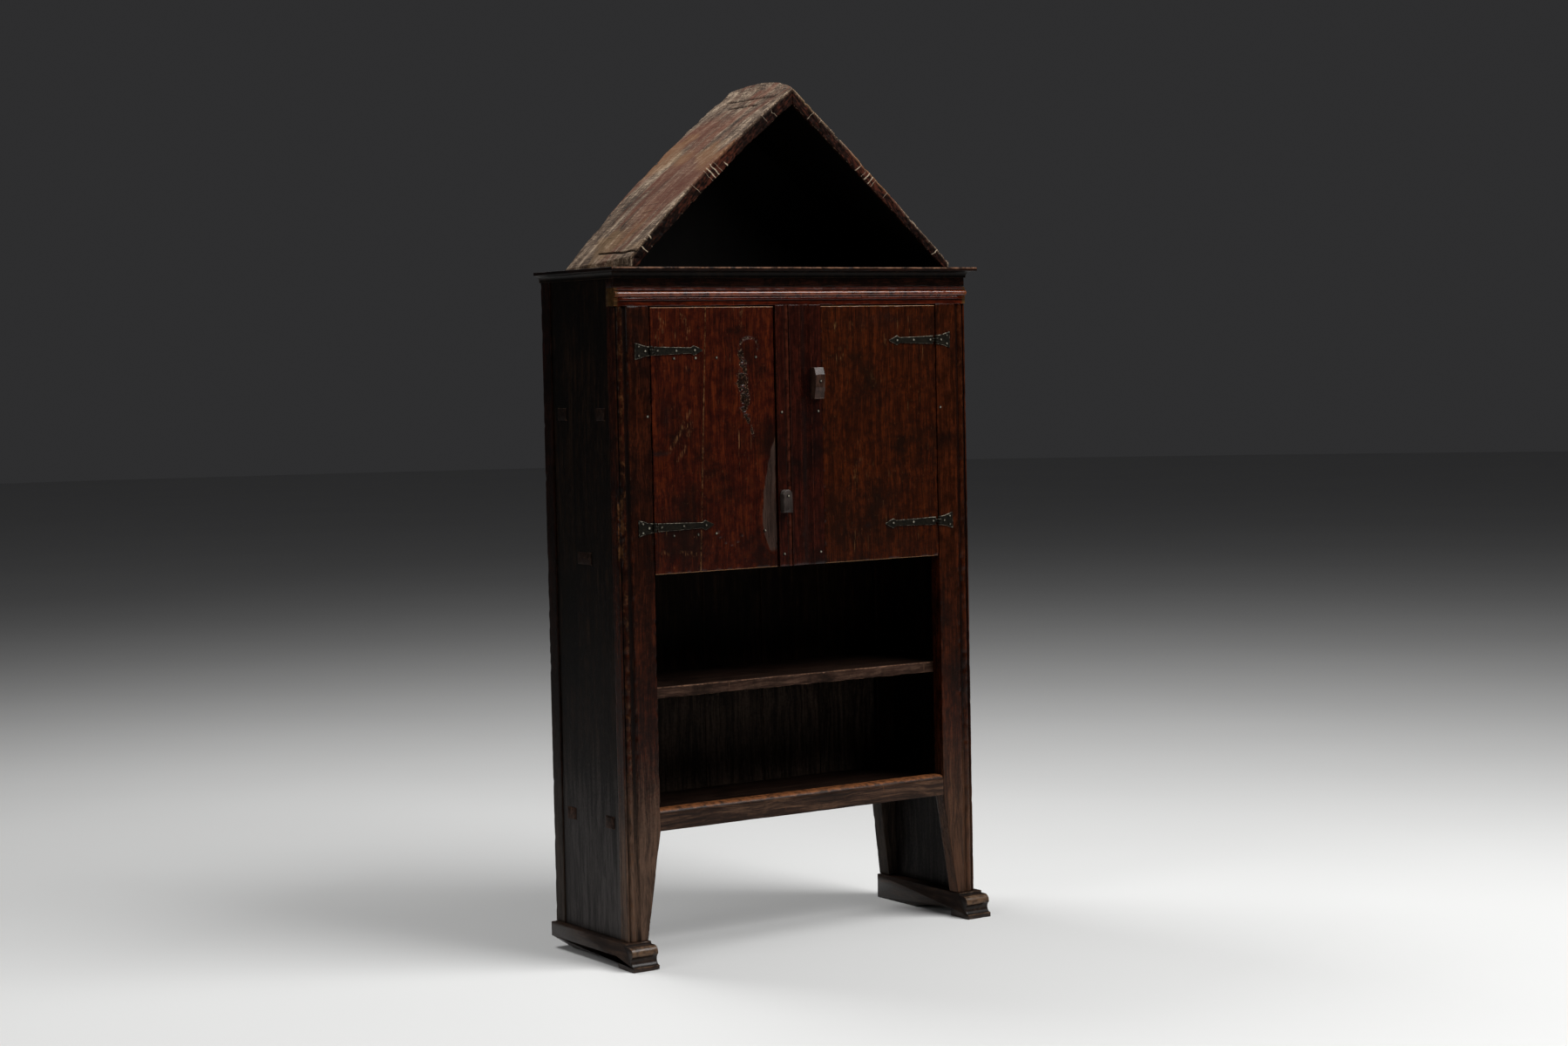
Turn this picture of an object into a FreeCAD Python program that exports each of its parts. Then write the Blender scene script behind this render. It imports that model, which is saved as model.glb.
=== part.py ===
import FreeCAD, Part
import os

os.makedirs("parts", exist_ok=True)

V = FreeCAD.Vector

# A two-door country cupboard on sledge feet, with an open shelf bay below and a small open gable on top.
# Millimetres. +Z is up, the doors face -Y, X = 0 is the middle of the front.
# The origin is the middle of the footprint, on the floor.

# Carcass
BODY_WIDTH = 950.0           # across the outer faces of the stiles
BODY_DEPTH = 325.0           # front of the front stiles to the back of the rear stiles
STILE_WIDTH = 87.0
STILE_THICK = 34.0
REAR_STILE_WIDTH = 70.0
REAR_STILE_THICK = 40.0
STILE_TOP = 1444.0           # the top rail lies on the front stiles here
LEG_TOE_WIDTH = 49.0         # front leg where it meets the foot
REAR_LEG_TOE_WIDTH = 44.0
SIDE_THICK = 20.0
SIDE_RECESS = 3.0            # side boards lie this far inside the stiles' outer faces
BACK_THICK = 18.0
BACK_INSET = 10.0            # back boards lie this far inside the rear stiles' back
BACK_BOARDS = 5

# Moulded outer edge of the front stiles, measured from the outer arris
STILE_FILLET = 4.0
STILE_QUIRK = 7.0
STILE_ROUND = 22.0
STILE_HOLLOW = 31.0
STILE_FILLET_DROP = 4.0      # outer fillet behind the face
STILE_QUIRK_DEPTH = 7.0
STILE_MOULD_DEPTH = 6.0      # foot of the round behind the face
STILE_ROUND_LIFT = 5.0
STILE_HOLLOW_SAG = 1.6

# Shelves, by the height of their undersides
SHELF_THICK = 28.0
INNER_SHELF_Z = 1196.0
CUPBOARD_FLOOR_Z = 878.0
BOTTOM_SHELF_Z = 300.0
OPEN_SHELF_Z = 582.0
OPEN_SHELF_THICK = 25.0
HOUSING_DEPTH = 5.0          # open shelf let into the side boards
TENON_WIDTH = 38.0
FLOOR_TENON_WIDTH = 60.0
TENON_EDGE = 40.5            # side board's edge to the middle of the nearest tenon
TENON_PROUD = 1.5            # tenon ends stand past the side boards' outer faces

# Rails, frieze and cornice
BOTTOM_RAIL_Z = 294.0
BOTTOM_RAIL_HEIGHT = 48.0
BOTTOM_RAIL_ROUND = 12.0     # worn round of the rail's upper front edge
TOP_RAIL_HEIGHT = 40.0
TOP_RAIL_FLAT = 12.0
TOP_RAIL_STRIP = 5.0         # raised strip above the lower flat
TOP_RAIL_QUIRK = 2.0         # sunk line under the bead
TOP_RAIL_BEAD = 13.0
TOP_RAIL_STRIP_LIFT = 2.3
TOP_RAIL_LIFT = 7.0          # bead stands this far in front of the stiles
TOP_RAIL_END_PLAIN = 17.0    # plain block at each end, past the bead
FRIEZE_HEIGHT = 35.0
FRIEZE_SETBACK = 3.0
CORNICE_THICK = 9.0
CORNICE_FRONT = 25.0         # overhang in front of the stiles
CORNICE_SIDE = 18.0          # overhang past the stiles at each side
COVE_HEIGHT = 15.0
COVE_REACH = 14.0
COVE_LIP = 3.0

# Feet
FOOT_HEIGHT = 58.0
FOOT_PROJECTION = 42.0       # toe in front of the stiles
FOOT_WIDTH = 66.0
FOOT_OVERHANG = 14.0         # past the outer faces of the stiles
FOOT_STEP = 8.0              # top step in front of the stile
FOOT_STEP_DROP = 5.0
FOOT_NOSE_HEIGHT = 34.0      # underside of the rounded nose
FOOT_NOSE_SETBACK = 5.0      # that underside, behind the toe
FOOT_NOSE_BACK = 20.0        # top of the nose, behind the toe
FOOT_NOSE_SAG = 6.0
FOOT_LIP_HEIGHT = 11.0
FOOT_LIP_SETBACK = 4.0
FOOT_HOLLOW = 7.0            # depth of the hollow between nose and lip
FOOT_PAD = 70.0              # length of the front pad
FOOT_ARCH_LENGTH = 142.0
FOOT_ARCH_HEIGHT = 17.0
FOOT_ARCH_SAG = 5.0
HEEL_WEAR_LENGTH = 46.0      # worn heel of the left foot
HEEL_WEAR_HEIGHT = 26.0
HEEL_WEAR_WIDTH = 30.0

# Gable roof
ROOF_DEPTH = 290.0
ROOF_THICK = 29.0
ROOF_EAVE = 430.0            # middle of the front to the outer toe of each roof board
ROOF_RISE = 402.0            # top of the ridge at its ends above the cornice board
ROOF_EAVE_CUT = 24.0         # upright cut at the toe of the boards
ROOF_BOWS = {"left": (15.0, 10.0), "right": (3.0, 3.0)}    # sweep of outer and inner face out of the straight
RIDGE_CROWN = 25.0           # left board's top edge runs up this far past the ridge at mid depth
RIDGE_BACK_RISE = 13.0       # and this far at its back end
GABLE_THICK = 18.0

# Doors and mullion
DOOR_THICK = 22.0
DOOR_BOTTOM = 858.0
DOOR_TOP_GAP = 3.0
DOOR_HINGE_GAP = 2.5
DOOR_MULLION_GAP = 3.0
MULLION_WIDTH = 123.0
MULLION_LIFT = 4.0           # mullion face in front of the stiles
MULLION_BACK = 24.0          # mullion back, where the shelf edges meet it
MULLION_FLAT = 24.0
MULLION_REED = 12.0
MULLION_FIELD = 29.0
MULLION_HOLLOW = 29.0
MULLION_CUT = 5.0            # depth of the mullion's sunk mouldings
JOINT_TOP = 143.0            # hinge edge of the left door to its board joint, at the top
JOINT_BOTTOM = 116.0
BATTEN_HEIGHT = 50.0
BATTEN_THICK = 18.0
BATTEN_INSET = 22.0          # batten ends inside the door's edges
UPPER_BATTEN_DROP = 112.0    # door top to the middle of the upper batten
LOWER_BATTEN_RISE = 83.0     # door bottom to the middle of the lower batten

# Hinges
IRON_THICK = 2.5
LEAF_LENGTH = 40.0
LEAF_WIDE = 39.0
HINGE_NECK = 20.0            # height at the knuckle
STRAP_WAIST = 13.0
STRAP_BARB = 23.0
STRAP_TIP = 21.0             # length of the arrow point
STRAP_BARB_BACK = 9.0
UPPER_STRAP = 133.0
LOWER_STRAP = 153.0
KNUCKLE_RADIUS = 4.4
KNUCKLE_STANDOFF = 0.3
KNUCKLE_PLAY = 0.3
STRAP_KNUCKLE = 7.4
PIN_RADIUS = 2.2
PIN_CLEARANCE = 0.05
PIN_HEAD = 1.5
PIN_HEAD_RADIUS = 3.7
PIN_HEAD_TOP = 1.8           # radius of the head's flat top
HINGE_DROPS = {"left": 95.0, "right": 80.0}    # door top to the upper hinge
HINGE_RISES = {"left": 103.0, "right": 82.0}   # door bottom to the lower hinge

# Turn buttons on the mullion
UPPER_BUTTON_RISE = 76.0     # pivot above the underside of the inner shelf
UPPER_BUTTON_INSET = 18.5    # pivot from the mullion's right edge
UPPER_BUTTON_LONG = 40.0
UPPER_BUTTON_SHORT = 31.0
UPPER_BUTTON_WIDTH = 27.0
UPPER_BUTTON_THICK = 22.0
UPPER_BUTTON_FACET = 6.0
LOWER_BUTTON_RISE = 139.0    # pivot above the underside of the cupboard floor
LOWER_BUTTON_INSET = 14.5    # pivot from the mullion's left edge
LOWER_BUTTON_LONG = 38.0
LOWER_BUTTON_SHORT = 14.0
LOWER_BUTTON_WIDTH = 24.0
LOWER_BUTTON_THICK = 16.0
LOWER_BUTTON_SHOULDER = 4.7  # where its round end starts, above the pivot
BUTTON_PLAY = 0.3
BUTTON_PIVOT_RADIUS = 2.0
BUTTON_PIVOT_DEPTH = 15.0

# Nails
NAIL_HEAD = 4.2
NAIL_HEAD_LIFT = 2.0
NAIL_SHANK = 1.4
NAIL_CLEARANCE = 0.05
DOOR_NAIL_DEPTH = 34.0
HINGE_NAIL_DEPTH = 16.0
FRAME_NAIL_DEPTH = 45.0
ROOF_NAIL_DEPTH = 40.0
UPPER_DOOR_NAILS = (58.5, 114.5, 168.5)        # from the hinge edge
UPPER_DOOR_LAST_NAIL = 48.5                    # from the free edge
LOWER_DOOR_NAILS = (48.5, 111.5, 158.5)
LOWER_DOOR_LAST_NAIL = 33.5
LEAF_NAIL_NEAR = 14.4        # from the pivot
LEAF_NAIL_EDGE = 9.6         # from the wide end of the leaf
LEAF_NAIL_SPREAD = 9.7       # above and below the leaf's middle
STRAP_NAIL_FIRST = 17.2      # from the pivot
MULLION_NAIL_INSET = 12.0
STILE_NAIL_INSET = 9.0
ROOF_NAIL_NEAR = 194.0       # from the middle of the front
ROOF_NAIL_EAVE = 108.0       # from the outer toe of the roof board
NAIL_DROP = 6.0              # frame nails below the middle of the shelf they hold

# Levels and faces that follow from the sizes above
HALF = BODY_WIDTH / 2
FRONT = (FOOT_PROJECTION - BODY_DEPTH) / 2
BACK = FRONT + BODY_DEPTH
STILE_BACK = FRONT + STILE_THICK
REAR_STILE_FRONT = BACK - REAR_STILE_THICK
BACK_BOARD_BACK = BACK - BACK_INSET
BACK_BOARD_FRONT = BACK_BOARD_BACK - BACK_THICK
STILE_INNER = HALF - STILE_WIDTH
REAR_STILE_INNER = HALF - REAR_STILE_WIDTH
SIDE_OUTER = HALF - SIDE_RECESS
SIDE_INNER = SIDE_OUTER - SIDE_THICK
SIDE_MIDDLE = (STILE_BACK + REAR_STILE_FRONT) / 2
RAIL_TOP = STILE_TOP + TOP_RAIL_HEIGHT
CORNICE_Z = RAIL_TOP + FRIEZE_HEIGHT
CORNICE_TOP = CORNICE_Z + CORNICE_THICK
SHELF_FRONT = FRONT + MULLION_BACK
MULLION_FACE = FRONT - MULLION_LIFT
DOOR_TOP = STILE_TOP - DOOR_TOP_GAP
DOOR_HINGE_EDGE = STILE_INNER - DOOR_HINGE_GAP
DOOR_FREE_EDGE = MULLION_WIDTH / 2 + DOOR_MULLION_GAP
PIVOT_X = STILE_INNER - DOOR_HINGE_GAP / 2
PIVOT_Y = FRONT - KNUCKLE_STANDOFF - KNUCKLE_RADIUS
RIDGE_TOP = CORNICE_TOP + ROOF_RISE
UPPER_BUTTON_X = MULLION_WIDTH / 2 - UPPER_BUTTON_INSET
LOWER_BUTTON_X = LOWER_BUTTON_INSET - MULLION_WIDTH / 2
UPPER_BUTTON_Z = INNER_SHELF_Z + UPPER_BUTTON_RISE
LOWER_BUTTON_Z = CUPBOARD_FLOOR_Z + LOWER_BUTTON_RISE
DIAGONAL = 0.5 ** 0.5        # sine of 45 degrees


def box(x0, x1, y0, y1, z0, z1):
    """A block between two corners."""
    return Part.makeBox(x1 - x0, y1 - y0, z1 - z0, V(x0, y0, z0))


def outline(place, start, *legs):
    """A closed wire through 2D points: a leg (end,) is straight, a leg (middle, end) is an arc."""
    edges = []
    here = start
    for leg in legs + ((start,),):
        end = leg[-1]
        if len(leg) == 2:
            edges.append(Part.Arc(place(here), place(leg[0]), place(end)).toShape())
        else:
            edges.append(Part.LineSegment(place(here), place(end)).toShape())
        here = end
    return Part.Wire(edges)


def bowed(a, b, sag):
    """The middle of an arc from a to b that stands off its chord by sag, to the left of the way there."""
    dx = b[0] - a[0]
    dy = b[1] - a[1]
    long = (dx ** 2 + dy ** 2) ** 0.5
    return (a[0] + b[0]) / 2 - dy * sag / long, (a[1] + b[1]) / 2 + dx * sag / long


def prism(wire, sweep):
    """The solid that a flat wire makes when it is pushed along a vector."""
    return Part.Face(wire).extrude(sweep)


def mirrored(shape):
    """The same piece on the other side of the cupboard."""
    return shape.mirror(V(0, 0, 0), V(1, 0, 0))


def save(name, shape):
    """Write one node."""
    solids = shape.Solids
    if not shape.isValid() or not solids:
        raise ValueError(name + " is not a valid solid")
    out = solids[0] if len(solids) == 1 else Part.makeCompound(solids)
    out.exportStep("parts/" + name + ".step")
    print(name, len(solids), round(out.Volume))


def drilled(shape, holes):
    """A piece with its nail holes."""
    return shape.cut(Part.makeCompound(holes)) if holes else shape


def nail(x, y, z, depth, direction=V(0, 1, 0)):
    """A forged nail: a low domed head whose underside lies on the surface, and a round shank."""
    at = V(x, y, z)
    radius = (NAIL_HEAD ** 2 + NAIL_HEAD_LIFT ** 2) / (2 * NAIL_HEAD_LIFT)
    ball = Part.makeSphere(radius, at + direction * (radius - NAIL_HEAD_LIFT))
    head = ball.common(Part.makeCylinder(2 * NAIL_HEAD, 2 * NAIL_HEAD, at, direction * -1))
    shank = Part.makeCylinder(NAIL_SHANK, depth, at, direction)
    return head.fuse(shank).removeSplitter()


def nail_hole(x, y, z, depth, direction=V(0, 1, 0)):
    """The hole for a nail's shank."""
    return Part.makeCylinder(NAIL_SHANK + NAIL_CLEARANCE, depth + NAIL_CLEARANCE, V(x, y, z), direction)


def leg_taper(inner, toe, y0, y1):
    """What is sawn off the inner edge of a left leg below the bottom rail."""
    def place(p):
        return V(p[0], y0, p[1])
    x_top = -inner
    x_toe = -HALF + toe
    wire = outline(place, (x_top, BOTTOM_RAIL_Z), ((x_top, FOOT_HEIGHT),), ((x_toe, FOOT_HEIGHT),))
    return prism(wire, V(0, y1 - y0, 0))


def front_stile(holes):
    """Left front stile: its moulded outer edge runs full height, its inner edge tapers into the leg."""
    def place(p):
        return V(-HALF + p[0], FRONT + p[1], FOOT_HEIGHT)
    deep = STILE_MOULD_DEPTH
    crest = ((STILE_QUIRK + STILE_ROUND) / 2, deep - STILE_ROUND_LIFT)
    foot_of_round = (STILE_ROUND, deep)
    flat_edge = (STILE_HOLLOW, 0)
    wire = outline(place, (0, STILE_THICK), ((0, STILE_FILLET_DROP),), ((STILE_FILLET, STILE_FILLET_DROP),),
                   ((STILE_FILLET, STILE_QUIRK_DEPTH),), ((STILE_QUIRK, STILE_QUIRK_DEPTH),),
                   ((STILE_QUIRK, deep),), (crest, foot_of_round),
                   (bowed(foot_of_round, flat_edge, STILE_HOLLOW_SAG), flat_edge),
                   ((STILE_WIDTH, 0),), ((STILE_WIDTH, STILE_THICK),))
    post = prism(wire, V(0, 0, STILE_TOP - FOOT_HEIGHT))
    post = post.cut(leg_taper(STILE_INNER, LEG_TOE_WIDTH, FRONT, STILE_BACK))
    return drilled(post, holes)


def rear_stile():
    """Left rear stile, plain, up to the cornice board."""
    post = box(-HALF, -REAR_STILE_INNER, REAR_STILE_FRONT, BACK, FOOT_HEIGHT, CORNICE_Z)
    return post.cut(leg_taper(REAR_STILE_INNER, REAR_LEG_TOE_WIDTH, REAR_STILE_FRONT, BACK))


def tenon_list():
    """Height, depth place and width of every through tenon on one side."""
    pair = (STILE_BACK + TENON_EDGE, REAR_STILE_FRONT - TENON_EDGE)
    rows = [(INNER_SHELF_Z, y, TENON_WIDTH) for y in pair]
    rows += [(BOTTOM_SHELF_Z, y, TENON_WIDTH) for y in pair]
    return rows + [(CUPBOARD_FLOOR_Z, SIDE_MIDDLE, FLOOR_TENON_WIDTH)]


def tenon(z, y, width):
    """A left through tenon, flush with the shelf it is cut from."""
    return box(-SIDE_OUTER - TENON_PROUD, -SIDE_INNER, y - width / 2, y + width / 2, z, z + SHELF_THICK)


def side_board():
    """Left side board with its mortises and the housing for the open shelf."""
    board = box(-SIDE_OUTER, -SIDE_INNER, STILE_BACK, REAR_STILE_FRONT, FOOT_HEIGHT, CORNICE_Z)
    for row in tenon_list():
        board = board.cut(tenon(*row))
    return board.cut(open_shelf())


def shelf(z, front, holes=()):
    """A shelf with through tenons, cut round the stiles."""
    board = box(-SIDE_INNER, SIDE_INNER, front, BACK_BOARD_FRONT, z, z + SHELF_THICK)
    if front < STILE_BACK:
        corner = box(-SIDE_INNER, -STILE_INNER, front, STILE_BACK, z, z + SHELF_THICK)
        board = board.cut(corner).cut(mirrored(corner))
    corner = box(-SIDE_INNER, -REAR_STILE_INNER, REAR_STILE_FRONT, BACK_BOARD_FRONT, z, z + SHELF_THICK)
    board = board.cut(corner).cut(mirrored(corner))
    for row in tenon_list():
        if row[0] == z:
            board = board.fuse(tenon(*row)).fuse(mirrored(tenon(*row)))
    return drilled(board.removeSplitter(), list(holes))


def open_shelf():
    """The middle shelf, housed in the side boards behind the front stiles."""
    end = SIDE_INNER + HOUSING_DEPTH
    board = box(-end, end, STILE_BACK, REAR_STILE_FRONT, OPEN_SHELF_Z, OPEN_SHELF_Z + OPEN_SHELF_THICK)
    rear = box(-REAR_STILE_INNER, REAR_STILE_INNER, REAR_STILE_FRONT, BACK_BOARD_FRONT,
               OPEN_SHELF_Z, OPEN_SHELF_Z + OPEN_SHELF_THICK)
    return board.fuse(rear).removeSplitter()


def bottom_rail():
    """Bottom rail between the stiles, worn round along its upper front edge."""
    def place(p):
        return V(-STILE_INNER, FRONT + p[0], BOTTOM_RAIL_Z + p[1])
    r = BOTTOM_RAIL_ROUND
    bulge = r * (1 - DIAGONAL)
    top = BOTTOM_RAIL_HEIGHT
    wire = outline(place, (0, 0), ((0, top - r),), ((bulge, top - bulge), (r, top)),
                   ((STILE_THICK, top),), ((STILE_THICK, 0),))
    return prism(wire, V(2 * STILE_INNER, 0, 0))


def top_rail():
    """Full-width top rail: flat, strip, quirk, heavy bead and upper strip; plain blocks at its ends."""
    def place(p):
        return V(-HALF, FRONT + p[0], STILE_TOP + p[1])
    strip_top = TOP_RAIL_FLAT + TOP_RAIL_STRIP
    bead_low = strip_top + TOP_RAIL_QUIRK
    bead_high = bead_low + TOP_RAIL_BEAD
    upper_strip = (bead_high + TOP_RAIL_HEIGHT) / 2
    lift = TOP_RAIL_LIFT
    strip = -TOP_RAIL_STRIP_LIFT
    wire = outline(place, (0, 0), ((0, TOP_RAIL_FLAT),), ((strip, TOP_RAIL_FLAT),), ((strip, strip_top),),
                   ((0, bead_low),), ((-lift, (bead_low + bead_high) / 2), (0, bead_high)),
                   ((strip, upper_strip),), ((FRIEZE_SETBACK, TOP_RAIL_HEIGHT),),
                   ((STILE_THICK, TOP_RAIL_HEIGHT),), ((STILE_THICK, 0),))
    rail = prism(wire, V(BODY_WIDTH, 0, 0))
    end = box(-HALF, -HALF + TOP_RAIL_END_PLAIN, FRONT - lift, FRONT, STILE_TOP, STILE_TOP + bead_low)
    return rail.cut(end).cut(mirrored(end))


def frieze():
    """Plain frieze board on the top rail."""
    return box(-HALF, HALF, FRONT + FRIEZE_SETBACK, STILE_BACK, RAIL_TOP, CORNICE_Z)


def cornice():
    """Thin top board that overhangs the front and both ends."""
    end = HALF + CORNICE_SIDE
    return box(-end, end, FRONT - CORNICE_FRONT, BACK, CORNICE_Z, CORNICE_TOP)


def cove_wire(place):
    """Hollow cornice moulding in section: reach from the wall it is nailed to, height above its foot."""
    across = (COVE_REACH - COVE_LIP) * DIAGONAL
    upward = (COVE_HEIGHT - COVE_LIP) * DIAGONAL
    mid = (COVE_REACH - across, COVE_LIP + upward)
    return outline(place, (0, 0), ((COVE_LIP, 0),), ((COVE_LIP, COVE_LIP),),
                   (mid, (COVE_REACH, COVE_HEIGHT)), ((0, COVE_HEIGHT),))


def left_mitre():
    """The room of the front moulding's left half, up to its mitre line."""
    wall = FRONT + FRIEZE_SETBACK
    def place(p):
        return V(p[0], p[1], CORNICE_Z - COVE_HEIGHT)
    reach = COVE_REACH * 2
    wire = outline(place, (-HALF, wall), ((-HALF - reach, wall - reach),), ((0, wall - reach),), ((0, wall),))
    return prism(wire, V(0, 0, COVE_HEIGHT))


def front_cove():
    """Cornice moulding under the front overhang, mitred at both ends."""
    wall = FRONT + FRIEZE_SETBACK
    def place(p):
        return V(-HALF - COVE_REACH, wall - p[0], CORNICE_Z - COVE_HEIGHT + p[1])
    left = prism(cove_wire(place), V(HALF + COVE_REACH, 0, 0)).common(left_mitre())
    return left.fuse(mirrored(left)).removeSplitter()


def side_cove():
    """Cornice moulding along the left end, mitred to the front one."""
    wall = FRONT + FRIEZE_SETBACK
    def place(p):
        return V(-HALF - p[0], wall - COVE_REACH, CORNICE_Z - COVE_HEIGHT + p[1])
    strip = prism(cove_wire(place), V(0, BACK - wall + COVE_REACH, 0))
    return strip.cut(left_mitre())


def foot():
    """Right sledge foot: step, rounded nose, hollow and lip in front, an arch under its middle."""
    x0 = HALF + FOOT_OVERHANG - FOOT_WIDTH
    def place(p):
        return V(x0, FRONT + p[0], p[1])
    toe = -FOOT_PROJECTION
    brow = FOOT_HEIGHT - FOOT_STEP_DROP
    lip = (toe + FOOT_LIP_SETBACK, FOOT_LIP_HEIGHT)
    nose_low = (toe + FOOT_NOSE_SETBACK, FOOT_NOSE_HEIGHT)
    nose_high = (toe + FOOT_NOSE_BACK, brow)
    arch_high = (toe + FOOT_PAD, FOOT_ARCH_HEIGHT)
    arch_end = (arch_high[0] + FOOT_ARCH_LENGTH, 0)
    wire = outline(place, (toe, 0), ((toe, FOOT_LIP_HEIGHT),), (lip,),
                   (bowed(lip, nose_low, -FOOT_HOLLOW), nose_low),
                   (bowed(nose_low, nose_high, FOOT_NOSE_SAG), nose_high),
                   ((-FOOT_STEP, brow),), ((-FOOT_STEP, FOOT_HEIGHT),),
                   ((BODY_DEPTH, FOOT_HEIGHT),), ((BODY_DEPTH, 0),), (arch_end,),
                   (bowed(arch_end, arch_high, -FOOT_ARCH_SAG), arch_high), ((arch_high[0], 0),))
    return prism(wire, V(FOOT_WIDTH, 0, 0))


def worn_heel(left):
    """The left foot with its outer lower arris and its heel worn away behind the front pad."""
    outer = -HALF - FOOT_OVERHANG
    start = FRONT - FOOT_PROJECTION + FOOT_PAD
    def along(p):
        return V(outer + p[0], start, p[1])
    arris = outline(along, (0, 0), ((HEEL_WEAR_WIDTH, 0),), ((0, HEEL_WEAR_HEIGHT),))
    def across(p):
        return V(outer, BACK - p[0], p[1])
    heel = outline(across, (0, 0), ((HEEL_WEAR_LENGTH, 0),), ((0, HEEL_WEAR_HEIGHT),))
    return left.cut(prism(arris, V(0, BACK - start, 0))).cut(prism(heel, V(FOOT_WIDTH, 0, 0)))


def roof_lines(outer_bow, inner_bow):
    """Section of a right roof board: toe, upright cut, outer sweep to the ridge, inner sweep back."""
    slope = V(ROOF_EAVE, 0, ROOF_EAVE_CUT - ROOF_RISE)
    out = V(ROOF_RISE - ROOF_EAVE_CUT, 0, ROOF_EAVE).normalize()
    top = V(0, 0, RIDGE_TOP)
    toe = V(ROOF_EAVE, 0, CORNICE_TOP)
    brow = top + slope
    drop = ROOF_THICK / out.z
    inner_top = V(0, 0, RIDGE_TOP - drop)
    run = (inner_top.z - CORNICE_TOP) / -slope.z
    inner_toe = V(slope.x * run, 0, CORNICE_TOP)
    outer_mid = (top + brow) * 0.5 + out * outer_bow
    inner_mid = (inner_top + inner_toe) * 0.5 + out * inner_bow
    return top, outer_mid, brow, toe, inner_toe, inner_mid, inner_top


def roof_board(bows, extra=0.0):
    """Right roof board; extra carries it on past the ridge along its own slope."""
    top, outer_mid, brow, toe, inner_toe, inner_mid, inner_top = roof_lines(*bows)
    edges = [Part.Arc(top, outer_mid, brow).toShape(), Part.LineSegment(brow, toe).toShape(),
             Part.LineSegment(toe, inner_toe).toShape(), Part.Arc(inner_toe, inner_mid, inner_top).toShape()]
    if extra:
        climb = (top - outer_mid).normalize()
        past = climb * (extra / climb.z)
        edges += [Part.LineSegment(inner_top, inner_top + past).toShape(),
                  Part.LineSegment(inner_top + past, top + past).toShape(),
                  Part.LineSegment(top + past, top).toShape()]
    else:
        edges.append(Part.LineSegment(inner_top, top).toShape())
    board = prism(Part.Wire(edges), V(0, ROOF_DEPTH, 0))
    board.translate(V(0, FRONT, 0))
    return board


def crowned_roof_board():
    """Left roof board: its top edge rises past the ridge in a shallow curve and ends higher at the back."""
    def place(p):
        return V(p[0], FRONT + p[1], CORNICE_TOP)
    top, outer_mid = roof_lines(*ROOF_BOWS["left"])[:2]
    lean = outer_mid.x / (top.z - outer_mid.z)
    high, back = (-RIDGE_CROWN * lean, ROOF_DEPTH / 2), (-RIDGE_BACK_RISE * lean, ROOF_DEPTH)
    wire = outline(place, (0, 0), (high, back), ((ROOF_EAVE, ROOF_DEPTH),), ((ROOF_EAVE, 0),))
    trim = prism(wire, V(0, 0, ROOF_RISE + RIDGE_CROWN * 2))
    return mirrored(roof_board(ROOF_BOWS["left"], RIDGE_CROWN * 2).common(trim))


def gable_back(roof_boards):
    """Upright board that closes the back of the gable, cut to the undersides of the roof boards."""
    def place(p):
        return V(p[0], FRONT + ROOF_DEPTH - GABLE_THICK, p[1])
    wire = outline(place, (-ROOF_EAVE, CORNICE_TOP), ((0, RIDGE_TOP),), ((ROOF_EAVE, CORNICE_TOP),))
    board = prism(wire, V(0, GABLE_THICK, 0))
    for other in roof_boards:
        board = board.cut(other)
    return board


def mullion(holes):
    """Fixed moulded upright between the doors: flat, sunk reed, field, hollow and flat from left to right."""
    def place(p):
        return V(-MULLION_WIDTH / 2 + p[0], FRONT + p[1], DOOR_BOTTOM)
    face = -MULLION_LIFT
    low = face + MULLION_CUT
    reed = MULLION_FLAT + MULLION_REED
    field = reed + MULLION_FIELD
    hollow = field + MULLION_HOLLOW
    wire = outline(place, (0, MULLION_BACK), ((0, face),), ((MULLION_FLAT, face),), ((MULLION_FLAT, low),),
                   (((MULLION_FLAT + reed) / 2, face), (reed, low)), ((reed, face),), ((field, face),),
                   (((field + hollow) / 2, low), (hollow, face)), ((MULLION_WIDTH, face),),
                   ((MULLION_WIDTH, MULLION_BACK),))
    return drilled(prism(wire, V(0, 0, STILE_TOP - DOOR_BOTTOM)), holes)


def left_door_boards(holes):
    """The two upright boards of the left door; their joint leans."""
    x0 = -DOOR_HINGE_EDGE
    x1 = -DOOR_FREE_EDGE
    def place(p):
        return V(p[0], FRONT, p[1])
    low = (x0 + JOINT_BOTTOM, DOOR_BOTTOM)
    high = (x0 + JOINT_TOP, DOOR_TOP)
    outer = outline(place, (x0, DOOR_BOTTOM), (low,), (high,), ((x0, DOOR_TOP),))
    inner = outline(place, low, ((x1, DOOR_BOTTOM),), ((x1, DOOR_TOP),), (high,))
    return [drilled(prism(wire, V(0, DOOR_THICK, 0)), holes) for wire in (outer, inner)]


def batten(z, holes):
    """A cross batten nailed to the back of the left door."""
    y0 = FRONT + DOOR_THICK
    block = box(-DOOR_HINGE_EDGE + BATTEN_INSET, -DOOR_FREE_EDGE - BATTEN_INSET, y0, y0 + BATTEN_THICK,
                z - BATTEN_HEIGHT / 2, z + BATTEN_HEIGHT / 2)
    return drilled(block, holes)


def barrel(z0, z1):
    """A left hinge knuckle between two heights, with the bore for its pin."""
    tube = Part.makeCylinder(KNUCKLE_RADIUS, z1 - z0, V(-PIVOT_X, PIVOT_Y, z0))
    bore = Part.makeCylinder(PIN_RADIUS + PIN_CLEARANCE, z1 - z0, V(-PIVOT_X, PIVOT_Y, z0))
    return tube, bore


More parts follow.
